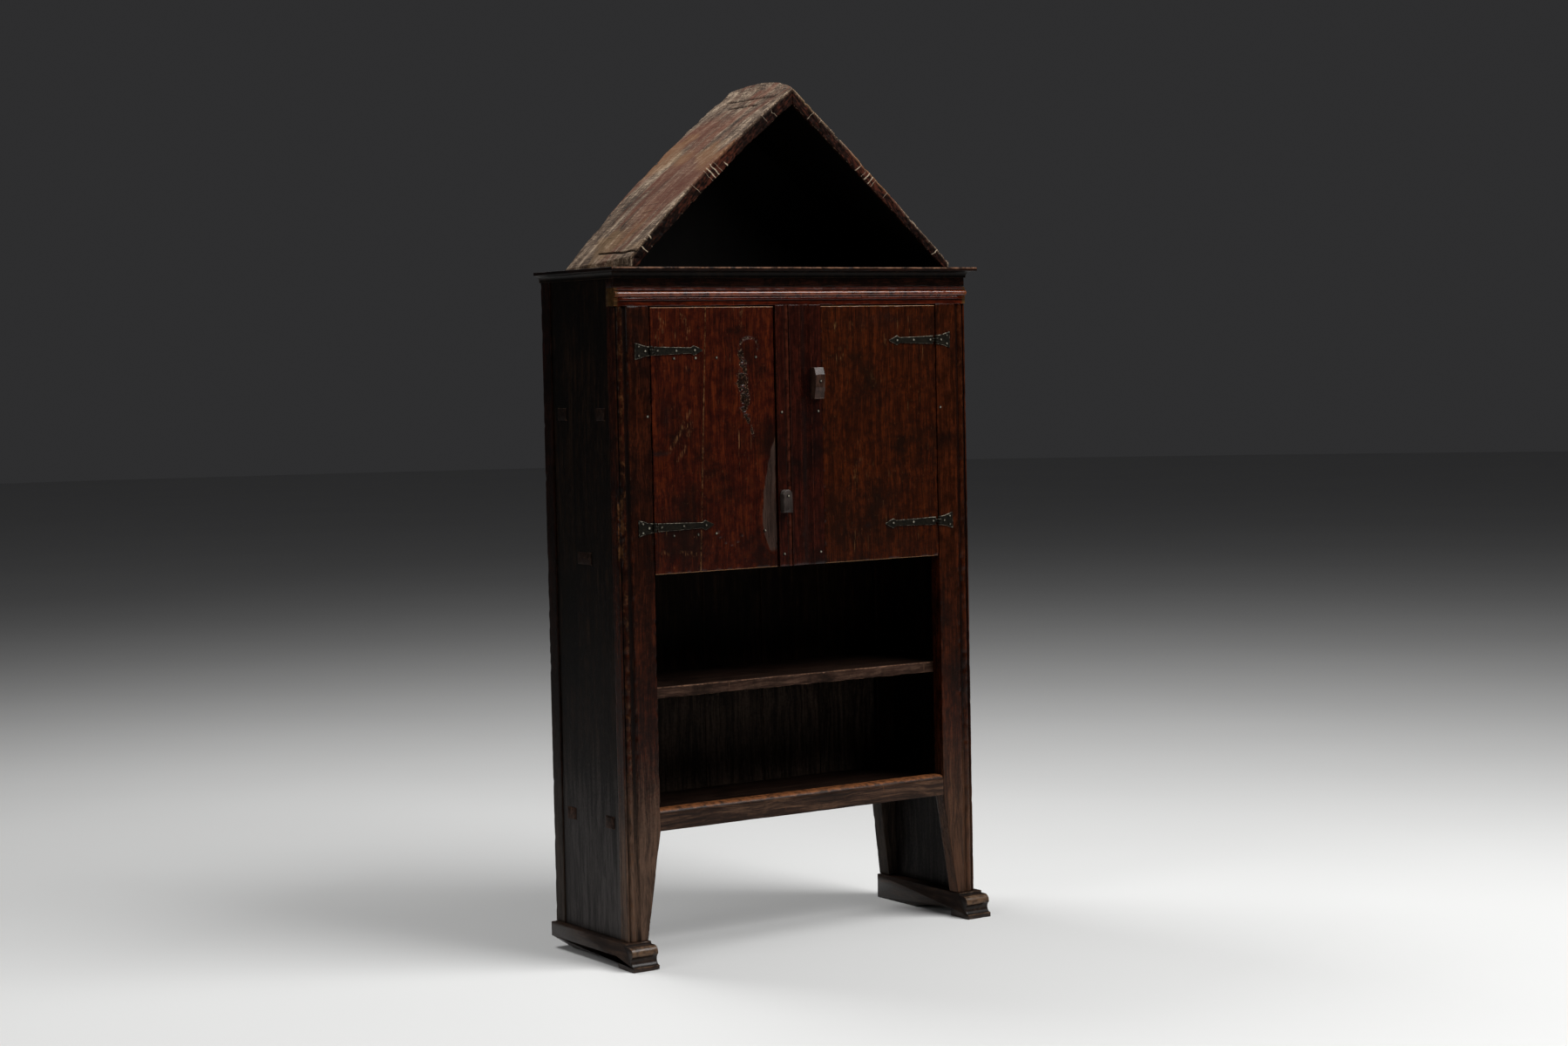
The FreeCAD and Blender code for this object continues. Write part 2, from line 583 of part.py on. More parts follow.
def iron(points, z):
    """A flat forged plate on the front face; points are measured from the pivot, along X and up."""
    def place(p):
        return V(-PIVOT_X + p[0], FRONT - IRON_THICK, z + p[1])
    return prism(outline(place, points[0], *[(p,) for p in points[1:]]), V(0, IRON_THICK, 0))


def hinge_leaf(z, holes):
    """Left hinge leaf: a plate that widens away from the knuckle, with two knuckles."""
    neck = HINGE_NECK / 2
    wide = LEAF_WIDE / 2
    gap = STRAP_KNUCKLE / 2 + KNUCKLE_PLAY
    start = -KNUCKLE_RADIUS / 2
    plate = iron([(start, -neck), (start, neck), (-LEAF_LENGTH, wide), (-LEAF_LENGTH, -wide)], z)
    upper, upper_bore = barrel(z + gap, z + neck)
    lower, lower_bore = barrel(z - neck, z - gap)
    room = Part.makeCylinder(KNUCKLE_RADIUS + KNUCKLE_PLAY, 2 * gap, V(-PIVOT_X, PIVOT_Y, z - gap))
    leaf = plate.cut(room).fuse([upper, lower]).cut(upper_bore).cut(lower_bore)
    return drilled(leaf.removeSplitter(), holes)


def hinge_strap(z, length, holes):
    """Left hinge strap: one knuckle, a taper to a waist and a barbed arrow point."""
    half = STRAP_KNUCKLE / 2
    neck = HINGE_NECK / 2
    waist = STRAP_WAIST / 2
    barb = STRAP_BARB / 2
    start = KNUCKLE_RADIUS / 2
    root = KNUCKLE_RADIUS * 2
    barb_x = length - STRAP_TIP
    waist_x = barb_x - STRAP_BARB_BACK
    right = [(start, half), (root, half), (root, neck), (waist_x, waist), (barb_x, barb), (length, 0)]
    plate = iron(right + [(x, -y) for x, y in reversed(right[:-1])], z)
    knuckle, bore = barrel(z - half, z + half)
    strap = plate.fuse(knuckle).cut(bore)
    return drilled(strap.removeSplitter(), holes)


def hinge_pin(z):
    """Hinge pin with a small head that rests on the upper knuckle."""
    neck = HINGE_NECK / 2
    pin = Part.makeCylinder(PIN_RADIUS, HINGE_NECK, V(-PIVOT_X, PIVOT_Y, z - neck))
    head = Part.makeCone(PIN_HEAD_RADIUS, PIN_HEAD_TOP, PIN_HEAD, V(-PIVOT_X, PIVOT_Y, z + neck))
    return pin.fuse(head).removeSplitter()


def leaf_nail_places(z):
    """Three nails in a left hinge leaf."""
    near = -PIVOT_X - LEAF_NAIL_NEAR
    far = -PIVOT_X - LEAF_LENGTH + LEAF_NAIL_EDGE
    return [(near, z), (far, z + LEAF_NAIL_SPREAD), (far, z - LEAF_NAIL_SPREAD)]


def strap_nail_places(z, length):
    """Three nails along a left hinge strap, the last in its arrow point."""
    last = length - STRAP_TIP
    middle = (STRAP_NAIL_FIRST + last) / 2
    return [(-PIVOT_X + x, z) for x in (STRAP_NAIL_FIRST, middle, last)]


def upper_button(bore):
    """Upper turn button: a wooden block with its face cut to facets, long end down."""
    x0 = UPPER_BUTTON_X - UPPER_BUTTON_WIDTH / 2
    def place(p):
        return V(x0, MULLION_FACE - BUTTON_PLAY - p[0], UPPER_BUTTON_Z + p[1])
    low = UPPER_BUTTON_THICK - UPPER_BUTTON_FACET
    high = UPPER_BUTTON_THICK
    wire = outline(place, (0, -UPPER_BUTTON_LONG), ((low, -UPPER_BUTTON_LONG),),
                   ((high, -UPPER_BUTTON_WIDTH / 2),), ((high, UPPER_BUTTON_WIDTH / 2),),
                   ((low, UPPER_BUTTON_SHORT),), ((0, UPPER_BUTTON_SHORT),))
    return prism(wire, V(UPPER_BUTTON_WIDTH, 0, 0)).cut(bore)


def lower_button(bore):
    """Lower turn button: a plain bar, long end down, round at its short end."""
    def place(p):
        return V(LOWER_BUTTON_X + p[0], MULLION_FACE - BUTTON_PLAY, LOWER_BUTTON_Z + p[1])
    half = LOWER_BUTTON_WIDTH / 2
    low = -LOWER_BUTTON_LONG
    wire = outline(place, (-half, low), ((-half, LOWER_BUTTON_SHOULDER),),
                   ((0, LOWER_BUTTON_SHORT), (half, LOWER_BUTTON_SHOULDER)), ((half, low),))
    return prism(wire, V(0, -LOWER_BUTTON_THICK, 0)).cut(bore)


def pivot_nail(x, z, thick):
    """A button's pivot nail: its head keeps the button on, its shank is driven into the mullion."""
    face = MULLION_FACE - 2 * BUTTON_PLAY - thick
    long = thick + 2 * BUTTON_PLAY + BUTTON_PIVOT_DEPTH
    shank = Part.makeCylinder(BUTTON_PIVOT_RADIUS, long, V(x, face, z), V(0, 1, 0))
    head = nail(x, face, z, long)
    return head.fuse(shank).removeSplitter()


def pivot_bore(x, z, thick, clearance):
    """The hole that a button's pivot nail passes through."""
    face = MULLION_FACE - 2 * BUTTON_PLAY - thick
    long = thick + 2 * BUTTON_PLAY + BUTTON_PIVOT_DEPTH + clearance
    return Part.makeCylinder(BUTTON_PIVOT_RADIUS + clearance, long, V(x, face, z), V(0, 1, 0))


def frame_nail_places():
    """Nails through the mullion and the stiles into the shelf edges behind them."""
    edge = MULLION_WIDTH / 2 - MULLION_NAIL_INSET
    rows = [z + SHELF_THICK / 2 - NAIL_DROP for z in (INNER_SHELF_Z, CUPBOARD_FLOOR_Z)]
    middle = [(x, z) for z in rows for x in (-edge, edge)]
    post = [(side * (STILE_INNER + STILE_NAIL_INSET), rows[0]) for side in (-1, 1)]
    return middle, post


def roof_nail_seats():
    """Points on the roof boards' outer faces over the gable back, each with the way into the board."""
    y = FRONT + ROOF_DEPTH - GABLE_THICK / 2
    seats = []
    for side, bows in ((-1, ROOF_BOWS["left"]), (1, ROOF_BOWS["right"])):
        top, outer_mid, brow = roof_lines(*bows)[:3]
        middle = Part.Arc(top, outer_mid, brow).toShape().Curve.Center
        radius = (top - middle).Length
        for x in (ROOF_NAIL_NEAR, ROOF_EAVE - ROOF_NAIL_EAVE):
            rise = (radius ** 2 - (x - middle.x) ** 2) ** 0.5
            inward = V(side * (middle.x - x), 0, -rise).normalize()
            seats.append((V(side * x, y, middle.z + rise) - inward * NAIL_CLEARANCE, inward))
    return seats


def back_boards(holes):
    """Upright back boards between the rear stiles."""
    width = 2 * REAR_STILE_INNER / BACK_BOARDS
    for i in range(BACK_BOARDS):
        x0 = -REAR_STILE_INNER + i * width
        board = box(x0, x0 + width, BACK_BOARD_FRONT, BACK_BOARD_BACK, BOTTOM_SHELF_Z, CORNICE_Z)
        yield drilled(board, holes)


def back_nail_places():
    """A nail through each back board into each shelf."""
    width = 2 * REAR_STILE_INNER / BACK_BOARDS
    columns = [-REAR_STILE_INNER + (i + 0.5) * width for i in range(BACK_BOARDS)]
    rows = [z + SHELF_THICK / 2 for z in (INNER_SHELF_Z, CUPBOARD_FLOOR_Z, BOTTOM_SHELF_Z)]
    rows.append(OPEN_SHELF_Z + OPEN_SHELF_THICK / 2)
    return [(x, z) for z in rows for x in columns]


def build_carcass():
    """The fixed box: stiles, sides, shelves, rails, frieze, back and mullion, and the nails in them."""
    middle, post = frame_nail_places()
    mullion_holes = [nail_hole(x, MULLION_FACE, z, FRAME_NAIL_DEPTH) for x, z in middle]
    stile_holes = [nail_hole(x, FRONT, z, FRAME_NAIL_DEPTH) for x, z in post]
    behind = V(0, -1, 0)
    back_holes = [nail_hole(x, BACK_BOARD_BACK, z, FRAME_NAIL_DEPTH, behind) for x, z in back_nail_places()]
    hinge_holes = {side: [nail_hole(x, FRONT - IRON_THICK, z, HINGE_NAIL_DEPTH)
                          for middle_z in hinge_heights(side) for x, z in leaf_nail_places(middle_z)]
                   for side in ("left", "right")}
    pivots = [pivot_bore(UPPER_BUTTON_X, UPPER_BUTTON_Z, UPPER_BUTTON_THICK, NAIL_CLEARANCE),
              pivot_bore(LOWER_BUTTON_X, LOWER_BUTTON_Z, LOWER_BUTTON_THICK, NAIL_CLEARANCE)]
    save("left_front_stile", front_stile(hinge_holes["left"] + stile_holes))
    save("right_front_stile", mirrored(front_stile(hinge_holes["right"] + stile_holes)))
    save("left_rear_stile", rear_stile())
    save("right_rear_stile", mirrored(rear_stile()))
    save("left_side_board", side_board())
    save("right_side_board", mirrored(side_board()))
    shelf_holes = mullion_holes + stile_holes + back_holes
    save("inner_shelf", shelf(INNER_SHELF_Z, SHELF_FRONT, shelf_holes))
    save("cupboard_floor", shelf(CUPBOARD_FLOOR_Z, SHELF_FRONT, shelf_holes))
    save("bottom_shelf", shelf(BOTTOM_SHELF_Z, STILE_BACK, back_holes))
    save("open_shelf", drilled(open_shelf(), back_holes))
    save("bottom_rail", bottom_rail())
    save("top_rail", top_rail())
    save("frieze_board", frieze())
    save("mullion", mullion(mullion_holes + pivots))
    for i, board in enumerate(back_boards(back_holes)):
        save("back_board_%d" % (i + 1), board)
    save("mullion_nails", Part.makeCompound([nail(x, MULLION_FACE, z, FRAME_NAIL_DEPTH) for x, z in middle]))
    save("stile_nails", Part.makeCompound([nail(x, FRONT, z, FRAME_NAIL_DEPTH) for x, z in post]))
    save("back_nails", Part.makeCompound(
        [nail(x, BACK_BOARD_BACK, z, FRAME_NAIL_DEPTH, behind) for x, z in back_nail_places()]))


def build_top_and_feet():
    """Cornice, its moulding, the gable and the sledge feet."""
    save("cornice_board", cornice())
    save("cornice_moulding_front", front_cove())
    save("cornice_moulding_left", side_cove())
    save("cornice_moulding_right", mirrored(side_cove()))
    left = crowned_roof_board()
    right = roof_board(ROOF_BOWS["right"]).cut(left)
    back = gable_back([left, right])
    seats = roof_nail_seats()
    holes = [nail_hole(at.x, at.y, at.z, ROOF_NAIL_DEPTH, inward) for at, inward in seats]
    save("left_roof_board", drilled(left, holes))
    save("right_roof_board", drilled(right, holes))
    save("gable_back_board", drilled(back, holes))
    save("roof_nails", Part.makeCompound([nail(at.x, at.y, at.z, ROOF_NAIL_DEPTH, way) for at, way in seats]))
    save("right_foot", foot())
    save("left_foot", worn_heel(mirrored(foot())))


def hinge_heights(side):
    """Middle heights of the upper and lower hinge of one door."""
    return DOOR_TOP - HINGE_DROPS[side], DOOR_BOTTOM + HINGE_RISES[side]


def build_hinges(side, flip):
    """Two hinges of one door; returns the holes that their strap nails make in the door."""
    strap_nails = []
    leaf_nails = []
    door_holes = []
    for level, z, length in zip(("upper", "lower"), hinge_heights(side), (UPPER_STRAP, LOWER_STRAP)):
        face = FRONT - IRON_THICK
        leaf_at = leaf_nail_places(z)
        strap_at = strap_nail_places(z, length)
        leaf_holes = [nail_hole(x, face, h, HINGE_NAIL_DEPTH) for x, h in leaf_at]
        strap_holes = [nail_hole(x, face, h, HINGE_NAIL_DEPTH) for x, h in strap_at]
        save("hinge_leaf_%s_%s" % (side, level), flip(hinge_leaf(z, leaf_holes)))
        save("hinge_strap_%s_%s" % (side, level), flip(hinge_strap(z, length, strap_holes)))
        save("hinge_pin_%s_%s" % (side, level), flip(hinge_pin(z)))
        leaf_nails += [flip(nail(x, face, h, HINGE_NAIL_DEPTH)) for x, h in leaf_at]
        strap_nails += [flip(nail(x, face, h, HINGE_NAIL_DEPTH)) for x, h in strap_at]
        door_holes += [flip(hole) for hole in strap_holes]
    save("%s_leaf_nails" % side, Part.makeCompound(leaf_nails))
    save("%s_strap_nails" % side, Part.makeCompound(strap_nails))
    return door_holes


def build_doors():
    """Both doors with their hinges."""
    holes = build_hinges("left", lambda shape: shape)
    battens = (("upper", DOOR_TOP - UPPER_BATTEN_DROP, UPPER_DOOR_NAILS, UPPER_DOOR_LAST_NAIL),
               ("lower", DOOR_BOTTOM + LOWER_BATTEN_RISE, LOWER_DOOR_NAILS, LOWER_DOOR_LAST_NAIL))
    places = [(-DOOR_HINGE_EDGE + x, z) for level, z, row, last in battens for x in row]
    places += [(-DOOR_FREE_EDGE - last, z) for level, z, row, last in battens]
    nail_holes = [nail_hole(x, FRONT, z, DOOR_NAIL_DEPTH) for x, z in places]
    outer, inner = left_door_boards(holes + nail_holes)
    save("left_door_outer_board", outer)
    save("left_door_inner_board", inner)
    for level, z, row, last in battens:
        save("left_door_%s_batten" % level, batten(z, nail_holes))
    save("left_door_nails", Part.makeCompound([nail(x, FRONT, z, DOOR_NAIL_DEPTH) for x, z in places]))
    holes = build_hinges("right", mirrored)
    board = box(DOOR_FREE_EDGE, DOOR_HINGE_EDGE, FRONT, FRONT + DOOR_THICK, DOOR_BOTTOM, DOOR_TOP)
    save("right_door_board", drilled(board, holes))


def build_buttons():
    """The two turn buttons and their pivot nails."""
    sets = (("upper", UPPER_BUTTON_X, UPPER_BUTTON_Z, UPPER_BUTTON_THICK, upper_button),
            ("lower", LOWER_BUTTON_X, LOWER_BUTTON_Z, LOWER_BUTTON_THICK, lower_button))
    for name, x, z, thick, make in sets:
        save(name + "_turn_button", make(pivot_bore(x, z, thick, NAIL_CLEARANCE)))
        save(name + "_button_nail", pivot_nail(x, z, thick))


build_carcass()
build_top_and_feet()
build_doors()
build_buttons()
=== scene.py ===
# %% [markdown]
# A country cupboard on sledge feet
#
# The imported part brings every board, hinge and nail at its real size, in metres, and it stays the fixed
# frame of this lesson. Sawn solids have sharp arrises and flat faces. An old cupboard has neither: every
# board was planed by hand, knocked, rubbed and waxed. So most nodes are replaced here by surfaces worked
# out with numpy that keep the node's place and size, and only take a little wood away.

import math

import bpy
import numpy as np
from mathutils import Matrix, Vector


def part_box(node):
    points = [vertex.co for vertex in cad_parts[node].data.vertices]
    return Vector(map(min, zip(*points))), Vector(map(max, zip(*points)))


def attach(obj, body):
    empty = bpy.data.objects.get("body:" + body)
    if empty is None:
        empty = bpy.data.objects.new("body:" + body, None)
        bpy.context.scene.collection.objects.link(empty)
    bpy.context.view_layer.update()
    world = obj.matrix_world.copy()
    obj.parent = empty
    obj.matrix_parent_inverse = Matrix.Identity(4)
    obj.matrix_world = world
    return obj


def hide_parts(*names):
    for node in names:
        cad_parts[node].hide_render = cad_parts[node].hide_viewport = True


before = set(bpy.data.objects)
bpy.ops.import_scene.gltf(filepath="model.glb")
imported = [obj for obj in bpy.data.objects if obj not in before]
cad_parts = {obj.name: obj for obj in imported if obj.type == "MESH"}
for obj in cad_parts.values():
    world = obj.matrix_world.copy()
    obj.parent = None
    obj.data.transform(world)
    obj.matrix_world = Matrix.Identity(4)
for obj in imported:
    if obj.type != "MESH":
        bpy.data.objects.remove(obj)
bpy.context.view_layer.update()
mm = 0.001


# %% [markdown]
# Random but steady relief
#
# Hand work is uneven, but never noisy: the plane leaves long low swells, and knocks leave short dents.
# Value noise gives both. It needs only a box size that may differ along the three axes, and a seed, so
# that each run is alike.

# %% Hills
def hills(points, size, seed):
    """Smooth random heights from 0 to 1. Each corner of a grid of boxes of this size holds a random number,
    and a point takes the eight numbers round it, weighted with the eased share 3t^2 - 2t^3 along each
    axis."""
    q = points / np.broadcast_to(size, 3)
    cell = np.floor(q).astype(np.int64)
    t = q - cell
    t = t * t * (3 - 2 * t)
    total = np.zeros(points.shape[:-1])
    for corner in np.ndindex(2, 2, 2):
        k = (cell + corner) * (73856093, 19349663, 83492791)
        h = ((k[..., 0] ^ k[..., 1] ^ k[..., 2]) + seed * 7919) * 2654435761 & 0xFFFFFFFF
        h = (h ^ (h >> 15)) * 2246822519 & 0xFFFFFFFF
        total += np.where(corner, t, 1 - t).prod(-1) * ((h ^ (h >> 13)) & 0xFFFF) / 0xFFFF
    return total


def rise(x, low, high):
    """0 below low, 1 above high, and the eased share 3t^2 - 2t^3 between them. It falls where low is above
    high."""
    t = np.clip((x - low) / (high - low), 0, 1)
    return t * t * (3 - 2 * t)


def span(node):
    """Lowest and highest corner of a node as arrays."""
    return [np.array(corner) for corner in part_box(node)]


def at(x, y, z):
    """Points from three coordinates that broadcast to one shape."""
    return np.stack(np.broadcast_arrays(x, y, z), -1)


# %% [markdown]
# A drawn profile
#
# A joiner's moulding is a profile with the same section from end to end. The profile is drawn as straight
# and round legs, as on a scratch-stock, and each corner is eased by a small round, because no edge on an
# old piece is sharp. The loop carries along its outward direction and how near each point is to an arris,
# for the wear.

# %% Draw a profile
ARRIS_ROUND = 0.7 * mm
ARRIS_REACH = 2.2 * mm      # rubbing reaches this far from an arris
CHIP_SPREAD = 4.0 * mm
CREASE_SHADE_FULL = 0.6 * mm      # a point this far under its surroundings is darkest: grime and painted crease shade


def arc_points(a, b, c, count):
    """Points on the circle through a, b and c, from a to c by way of b."""
    d = 2 * (a[0] * (b[1] - c[1]) + b[0] * (c[1] - a[1]) + c[0] * (a[1] - b[1]))
    sq = [p @ p for p in (a, b, c)]
    x = (sq[0] * (b[1] - c[1]) + sq[1] * (c[1] - a[1]) + sq[2] * (a[1] - b[1])) / d
    y = (sq[0] * (c[0] - b[0]) + sq[1] * (a[0] - c[0]) + sq[2] * (b[0] - a[0])) / d
    turn = [math.atan2(p[1] - y, p[0] - x) for p in (a, b, c)]
    turn = np.unwrap(turn)
    angle = np.linspace(turn[0], turn[2], count)
    radius = math.hypot(a[0] - x, a[1] - y)
    return np.stack([x + radius * np.cos(angle), y + radius * np.sin(angle)], -1)


def draw(start, *legs, step=4 * mm, soft=ARRIS_ROUND):
    """A closed profile of legs: two numbers are the end of a straight leg, and four are an arc's middle and
    end. Each corner gives way to three points of a small round: soft before it, soft after it, and the point
    a quarter, a half and a quarter of the way between these two and the corner. Returns the loop, its outward
    directions, the same averaged over a few millimetres (a chip goes in across the whole arris), the nearness
    to a convex arris, and how far the loop nearby stands out over a point: grime gathers there, and shade is
    painted there too. The last two run from 0 to 1."""
    here = np.array(start, float)
    runs = []
    for leg in legs + (start,):
        ends = np.reshape(leg, (-1, 2)).astype(float)
        long = np.linalg.norm(ends[-1] - here)
        if long < 1e-9:
            continue
        count = max(2, math.ceil(long / step) + 1)
        straight = len(ends) == 1
        runs.append(np.linspace(here, *ends, count) if straight else arc_points(here, *ends, max(7, count)))
        here = ends[-1]
    points = []
    for run, after in zip(runs, runs[1:] + runs[:1]):
        to_ends = [np.linalg.norm(run - end, axis=1) for end in (run[0], run[-1])]
        keep = np.minimum(*to_ends) > 1.2 * soft
        corner = run[-1]
        back = run[-2] - corner
        on = after[1] - corner
        before = corner + back * min(0.45, soft / np.linalg.norm(back))
        beyond = corner + on * min(0.45, soft / np.linalg.norm(on))
        points += [run[keep], [before, 0.25 * before + 0.5 * corner + 0.25 * beyond, beyond]]
    loop = np.concatenate(points)
    ahead = np.roll(loop, -1, 0)
    if np.sum(loop[:, 0] * ahead[:, 1] - ahead[:, 0] * loop[:, 1]) < 0:
        loop = loop[::-1]
    way = np.roll(loop, -1, 0) - np.roll(loop, 1, 0)
    way /= np.linalg.norm(way, axis=1, keepdims=True)
    out = np.stack([way[:, 1], -way[:, 0]], -1)
    last = np.roll(way, 1, 0)
    bend = np.clip((last[:, 0] * way[:, 1] - last[:, 1] * way[:, 0]) * 2.5, 0, 1)
    apart = np.linalg.norm(loop[:, None] - loop[None, :], axis=2)
    gap = apart[:, bend > 0.4]
    arris = np.exp(-gap.min(1) / ARRIS_REACH) if gap.shape[1] else np.zeros(len(loop))
    near = np.exp(-(apart / CHIP_SPREAD) ** 2)
    lean = near @ out
    lean /= np.linalg.norm(lean, axis=1, keepdims=True)
    over = (near @ loop) / near.sum(1, keepdims=True) - loop
    hollow = np.clip(np.sum(over * out, 1) / CREASE_SHADE_FULL, 0, 1)
    return loop, out, lean, arris, hollow


def rectangle(wide, tall, step, soft):
    """The profile of a plain board."""
    return draw((0, 0), (wide, 0), (wide, tall), (0, tall), step=step, soft=soft)


# %% [markdown]
# A profile carried along a path
#
# Nearly every piece is such a sweep: boards, stiles, rails, feet and even hinge straps. The path is a
# list of stations, and place() says where a station and a point of the profile lie in the cupboard. Both
# ends are eased like the arrises. Wear is a depth at each point: it only ever goes into the wood, so that
# doors and buttons never grow into their neighbours.

# %% Sweep a profile
def worn(seed, hew=0.4 * mm, chip=1.2 * mm, swell=(50 * mm, 50 * mm, 160 * mm), dent=13 * mm):
    """Depth of wear: long low swells all over, and bites out of the arrises where a second relief is
    high."""
    def depth(points, edge):
        bite = np.clip(hills(points, dent, seed + 1) - 0.52, 0, 1) * 2
        return hew * hills(points, swell, seed) + chip * edge ** 1.5 * bite
    return depth


def sweep(profile, stations, place, depth, soft=ARRIS_ROUND, marks=None):
    """A closed surface: the profile's loop at each station, moved in along its averaged directions by the
    wear. At both ends a quarter round of rings draws the loop in by soft(1 - sin a), soft(1 - cos a) from
    the end."""
    loop, out, lean, arris, hollow = profile
    a = np.linspace(0.3, math.pi / 2, 4)
    lead = soft * (1 - np.cos(a))
    pull = soft * (1 - np.sin(a))
    first, last = stations[0], stations[-1]
    inner = stations[(stations > first + 1.3 * soft) & (stations < last - 1.3 * soft)]
    s = np.concatenate([first + lead, inner, last - lead[::-1]])
    pull = np.concatenate([pull, np.zeros(len(inner)), pull[::-1]])
    end = np.exp(-np.minimum(s - first, last - s) / ARRIS_REACH)
    edge = 1 - (1 - arris[None, :]) * (1 - end[:, None])
    rest = place(s[:, None], loop[None, :, 0], loop[None, :, 1])
    wear = depth(rest, edge)
    u = loop[None, :, 0] - out[None, :, 0] * pull[:, None] - lean[None, :, 0] * wear
    v = loop[None, :, 1] - out[None, :, 1] * pull[:, None] - lean[None, :, 1] * wear
    points = place(s[:, None], u, v)
    # The profile's hollows darken the colour: grime, and painted shade in the creases.
    attributes = {"wear": edge, "grime": np.broadcast_to(hollow[None, :], edge.shape)}
    for name, rule in (marks or {}).items():
        attributes[name] = rule(rest, edge)
    inside = np.ones((len(s), 1))
    inside[[0, -1]] = 0.3       # an end face is rubbed at its rim alone
    attributes["wear"] = attributes["wear"] * inside
    return points, attributes


def stations(first, last, step):
    """Evenly spaced stations along a path."""
    return np.linspace(first, last, max(3, math.ceil((last - first) / step) + 1))


# %% [markdown]
# From arrays to a piece
#
# A swept surface is a grid of rings. Its faces are quads between neighbouring rings, and one many-sided
# face closes each end. Whether the faces look out is read off the sign of the enclosed volume, so
# mirrored pieces need no special care. Every piece rides on a body, stands for its nodes, and names its
# material slot.

# %% Make a piece
def faces_of(points):
    """Quads between the rings of a swept surface, with its two end faces, turned so that they look out."""
    rings, count = points.shape[:2]
    row = np.arange(rings - 1)[:, None] * count
    here = np.arange(count)[None, :]
    there = (here + 1) % count
    quads = np.stack([row + here, row + there, row + count + there, row + count + here], -1).reshape(-1, 4)
    ends = [np.arange(count)[::-1], (rings - 1) * count + np.arange(count)]
    fans = [np.stack([np.full(count - 2, e[0]), e[1:-1], e[2:]], -1) for e in ends]
    corner = points.reshape(-1, 3) - points.mean((0, 1))
    a, b, c = corner[np.concatenate([quads[:, :3], quads[:, [0, 2, 3]]] + fans)].transpose(1, 0, 2)
    if np.sum(a * np.cross(b, c)) < 0:
        return quads[:, ::-1], [e[::-1] for e in ends]
    return quads, ends


def make_piece(name, shells, finish, nodes, body="carcass", crease=40):
    """One object from swept surfaces (points and marks), riding on a body in place of its nodes."""
    mesh = bpy.data.meshes.new(name)
    corners, sizes, offset = [], [], 0
    for points, marks in shells:
        quads, ends = faces_of(points)
        corners += [quads.ravel() + offset] + [e + offset for e in ends]
        sizes += [np.full(len(quads), 4)] + [[len(e)] for e in ends]
        offset += points.shape[0] * points.shape[1]
    corners = np.concatenate(corners)
    sizes = np.concatenate(sizes)
    mesh.vertices.add(offset)
    mesh.vertices.foreach_set("co", np.concatenate([p.reshape(-1) for p, marks in shells]).astype(np.float32))
    mesh.loops.add(len(corners))
    mesh.loops.foreach_set("vertex_index", corners.astype(np.int32))
    mesh.polygons.add(len(sizes))
    mesh.polygons.foreach_set("loop_start", (np.cumsum(sizes) - sizes).astype(np.int32))
    mesh.polygons.foreach_set("use_smooth", sizes == 4)
    mesh.update(calc_edges=True)
    for key in sorted({k for points, marks in shells for k in marks}):
        values = [np.broadcast_to(marks.get(key, 0.0), points.shape[:2]).ravel() for points, marks in shells]
        layer = mesh.attributes.new(key, "FLOAT", "POINT")
        layer.data.foreach_set("value", np.concatenate(values).astype(np.float32))
    mesh.set_sharp_from_angle(angle=math.radians(crease))
    mesh.materials.append(finish)
    piece = bpy.data.objects.new(name, mesh)
    bpy.context.scene.collection.objects.link(piece)
    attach(piece, body)
    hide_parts(*nodes)
    print(f"{name}: {len(sizes)} faces")


def refinish(node, finish):
    """Gives a node that keeps its own mesh another material."""
    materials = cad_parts[node].data.materials
    materials.clear()
    materials.append(finish)


# %% [markdown]
# Shader sums in Python
#
# A material is a graph of nodes, and long graphs are hard to read. Here a socket is wrapped in a small
# class, so that `1 - mask` or `0.3 * streak + 0.2` adds the Math nodes by itself. Every other node comes
# from one method that takes its type, its settings and what goes into its sockets.

# %% Wire and finish
class Wire:
    """A socket that can be used in a sum. Each operator adds one Math node."""

    def __init__(self, tree, socket):
        self.tree = tree
        self.socket = socket

    def math(self, operation, first, second):
        node = self.tree.nodes.new("ShaderNodeMath")
        node.operation = operation
        feed(self.tree, node.inputs[0], first)
        feed(self.tree, node.inputs[1], second)
        return Wire(self.tree, node.outputs[0])

    def __add__(self, other):
        return self.math("ADD", self, other)

    def __sub__(self, other):
        return self.math("SUBTRACT", self, other)

    def __rsub__(self, other):
        return self.math("SUBTRACT", other, self)

    def __mul__(self, other):
        return self.math("MULTIPLY", self, other)

    def __pow__(self, other):
        return self.math("POWER", self, other)

    __radd__ = __add__
    __rmul__ = __mul__


def feed(tree, socket, value):
    """Links a wire to a socket, or sets the socket's own value."""
    if isinstance(value, Wire):
        tree.links.new(value.socket, socket)
    else:
        socket.default_value = value


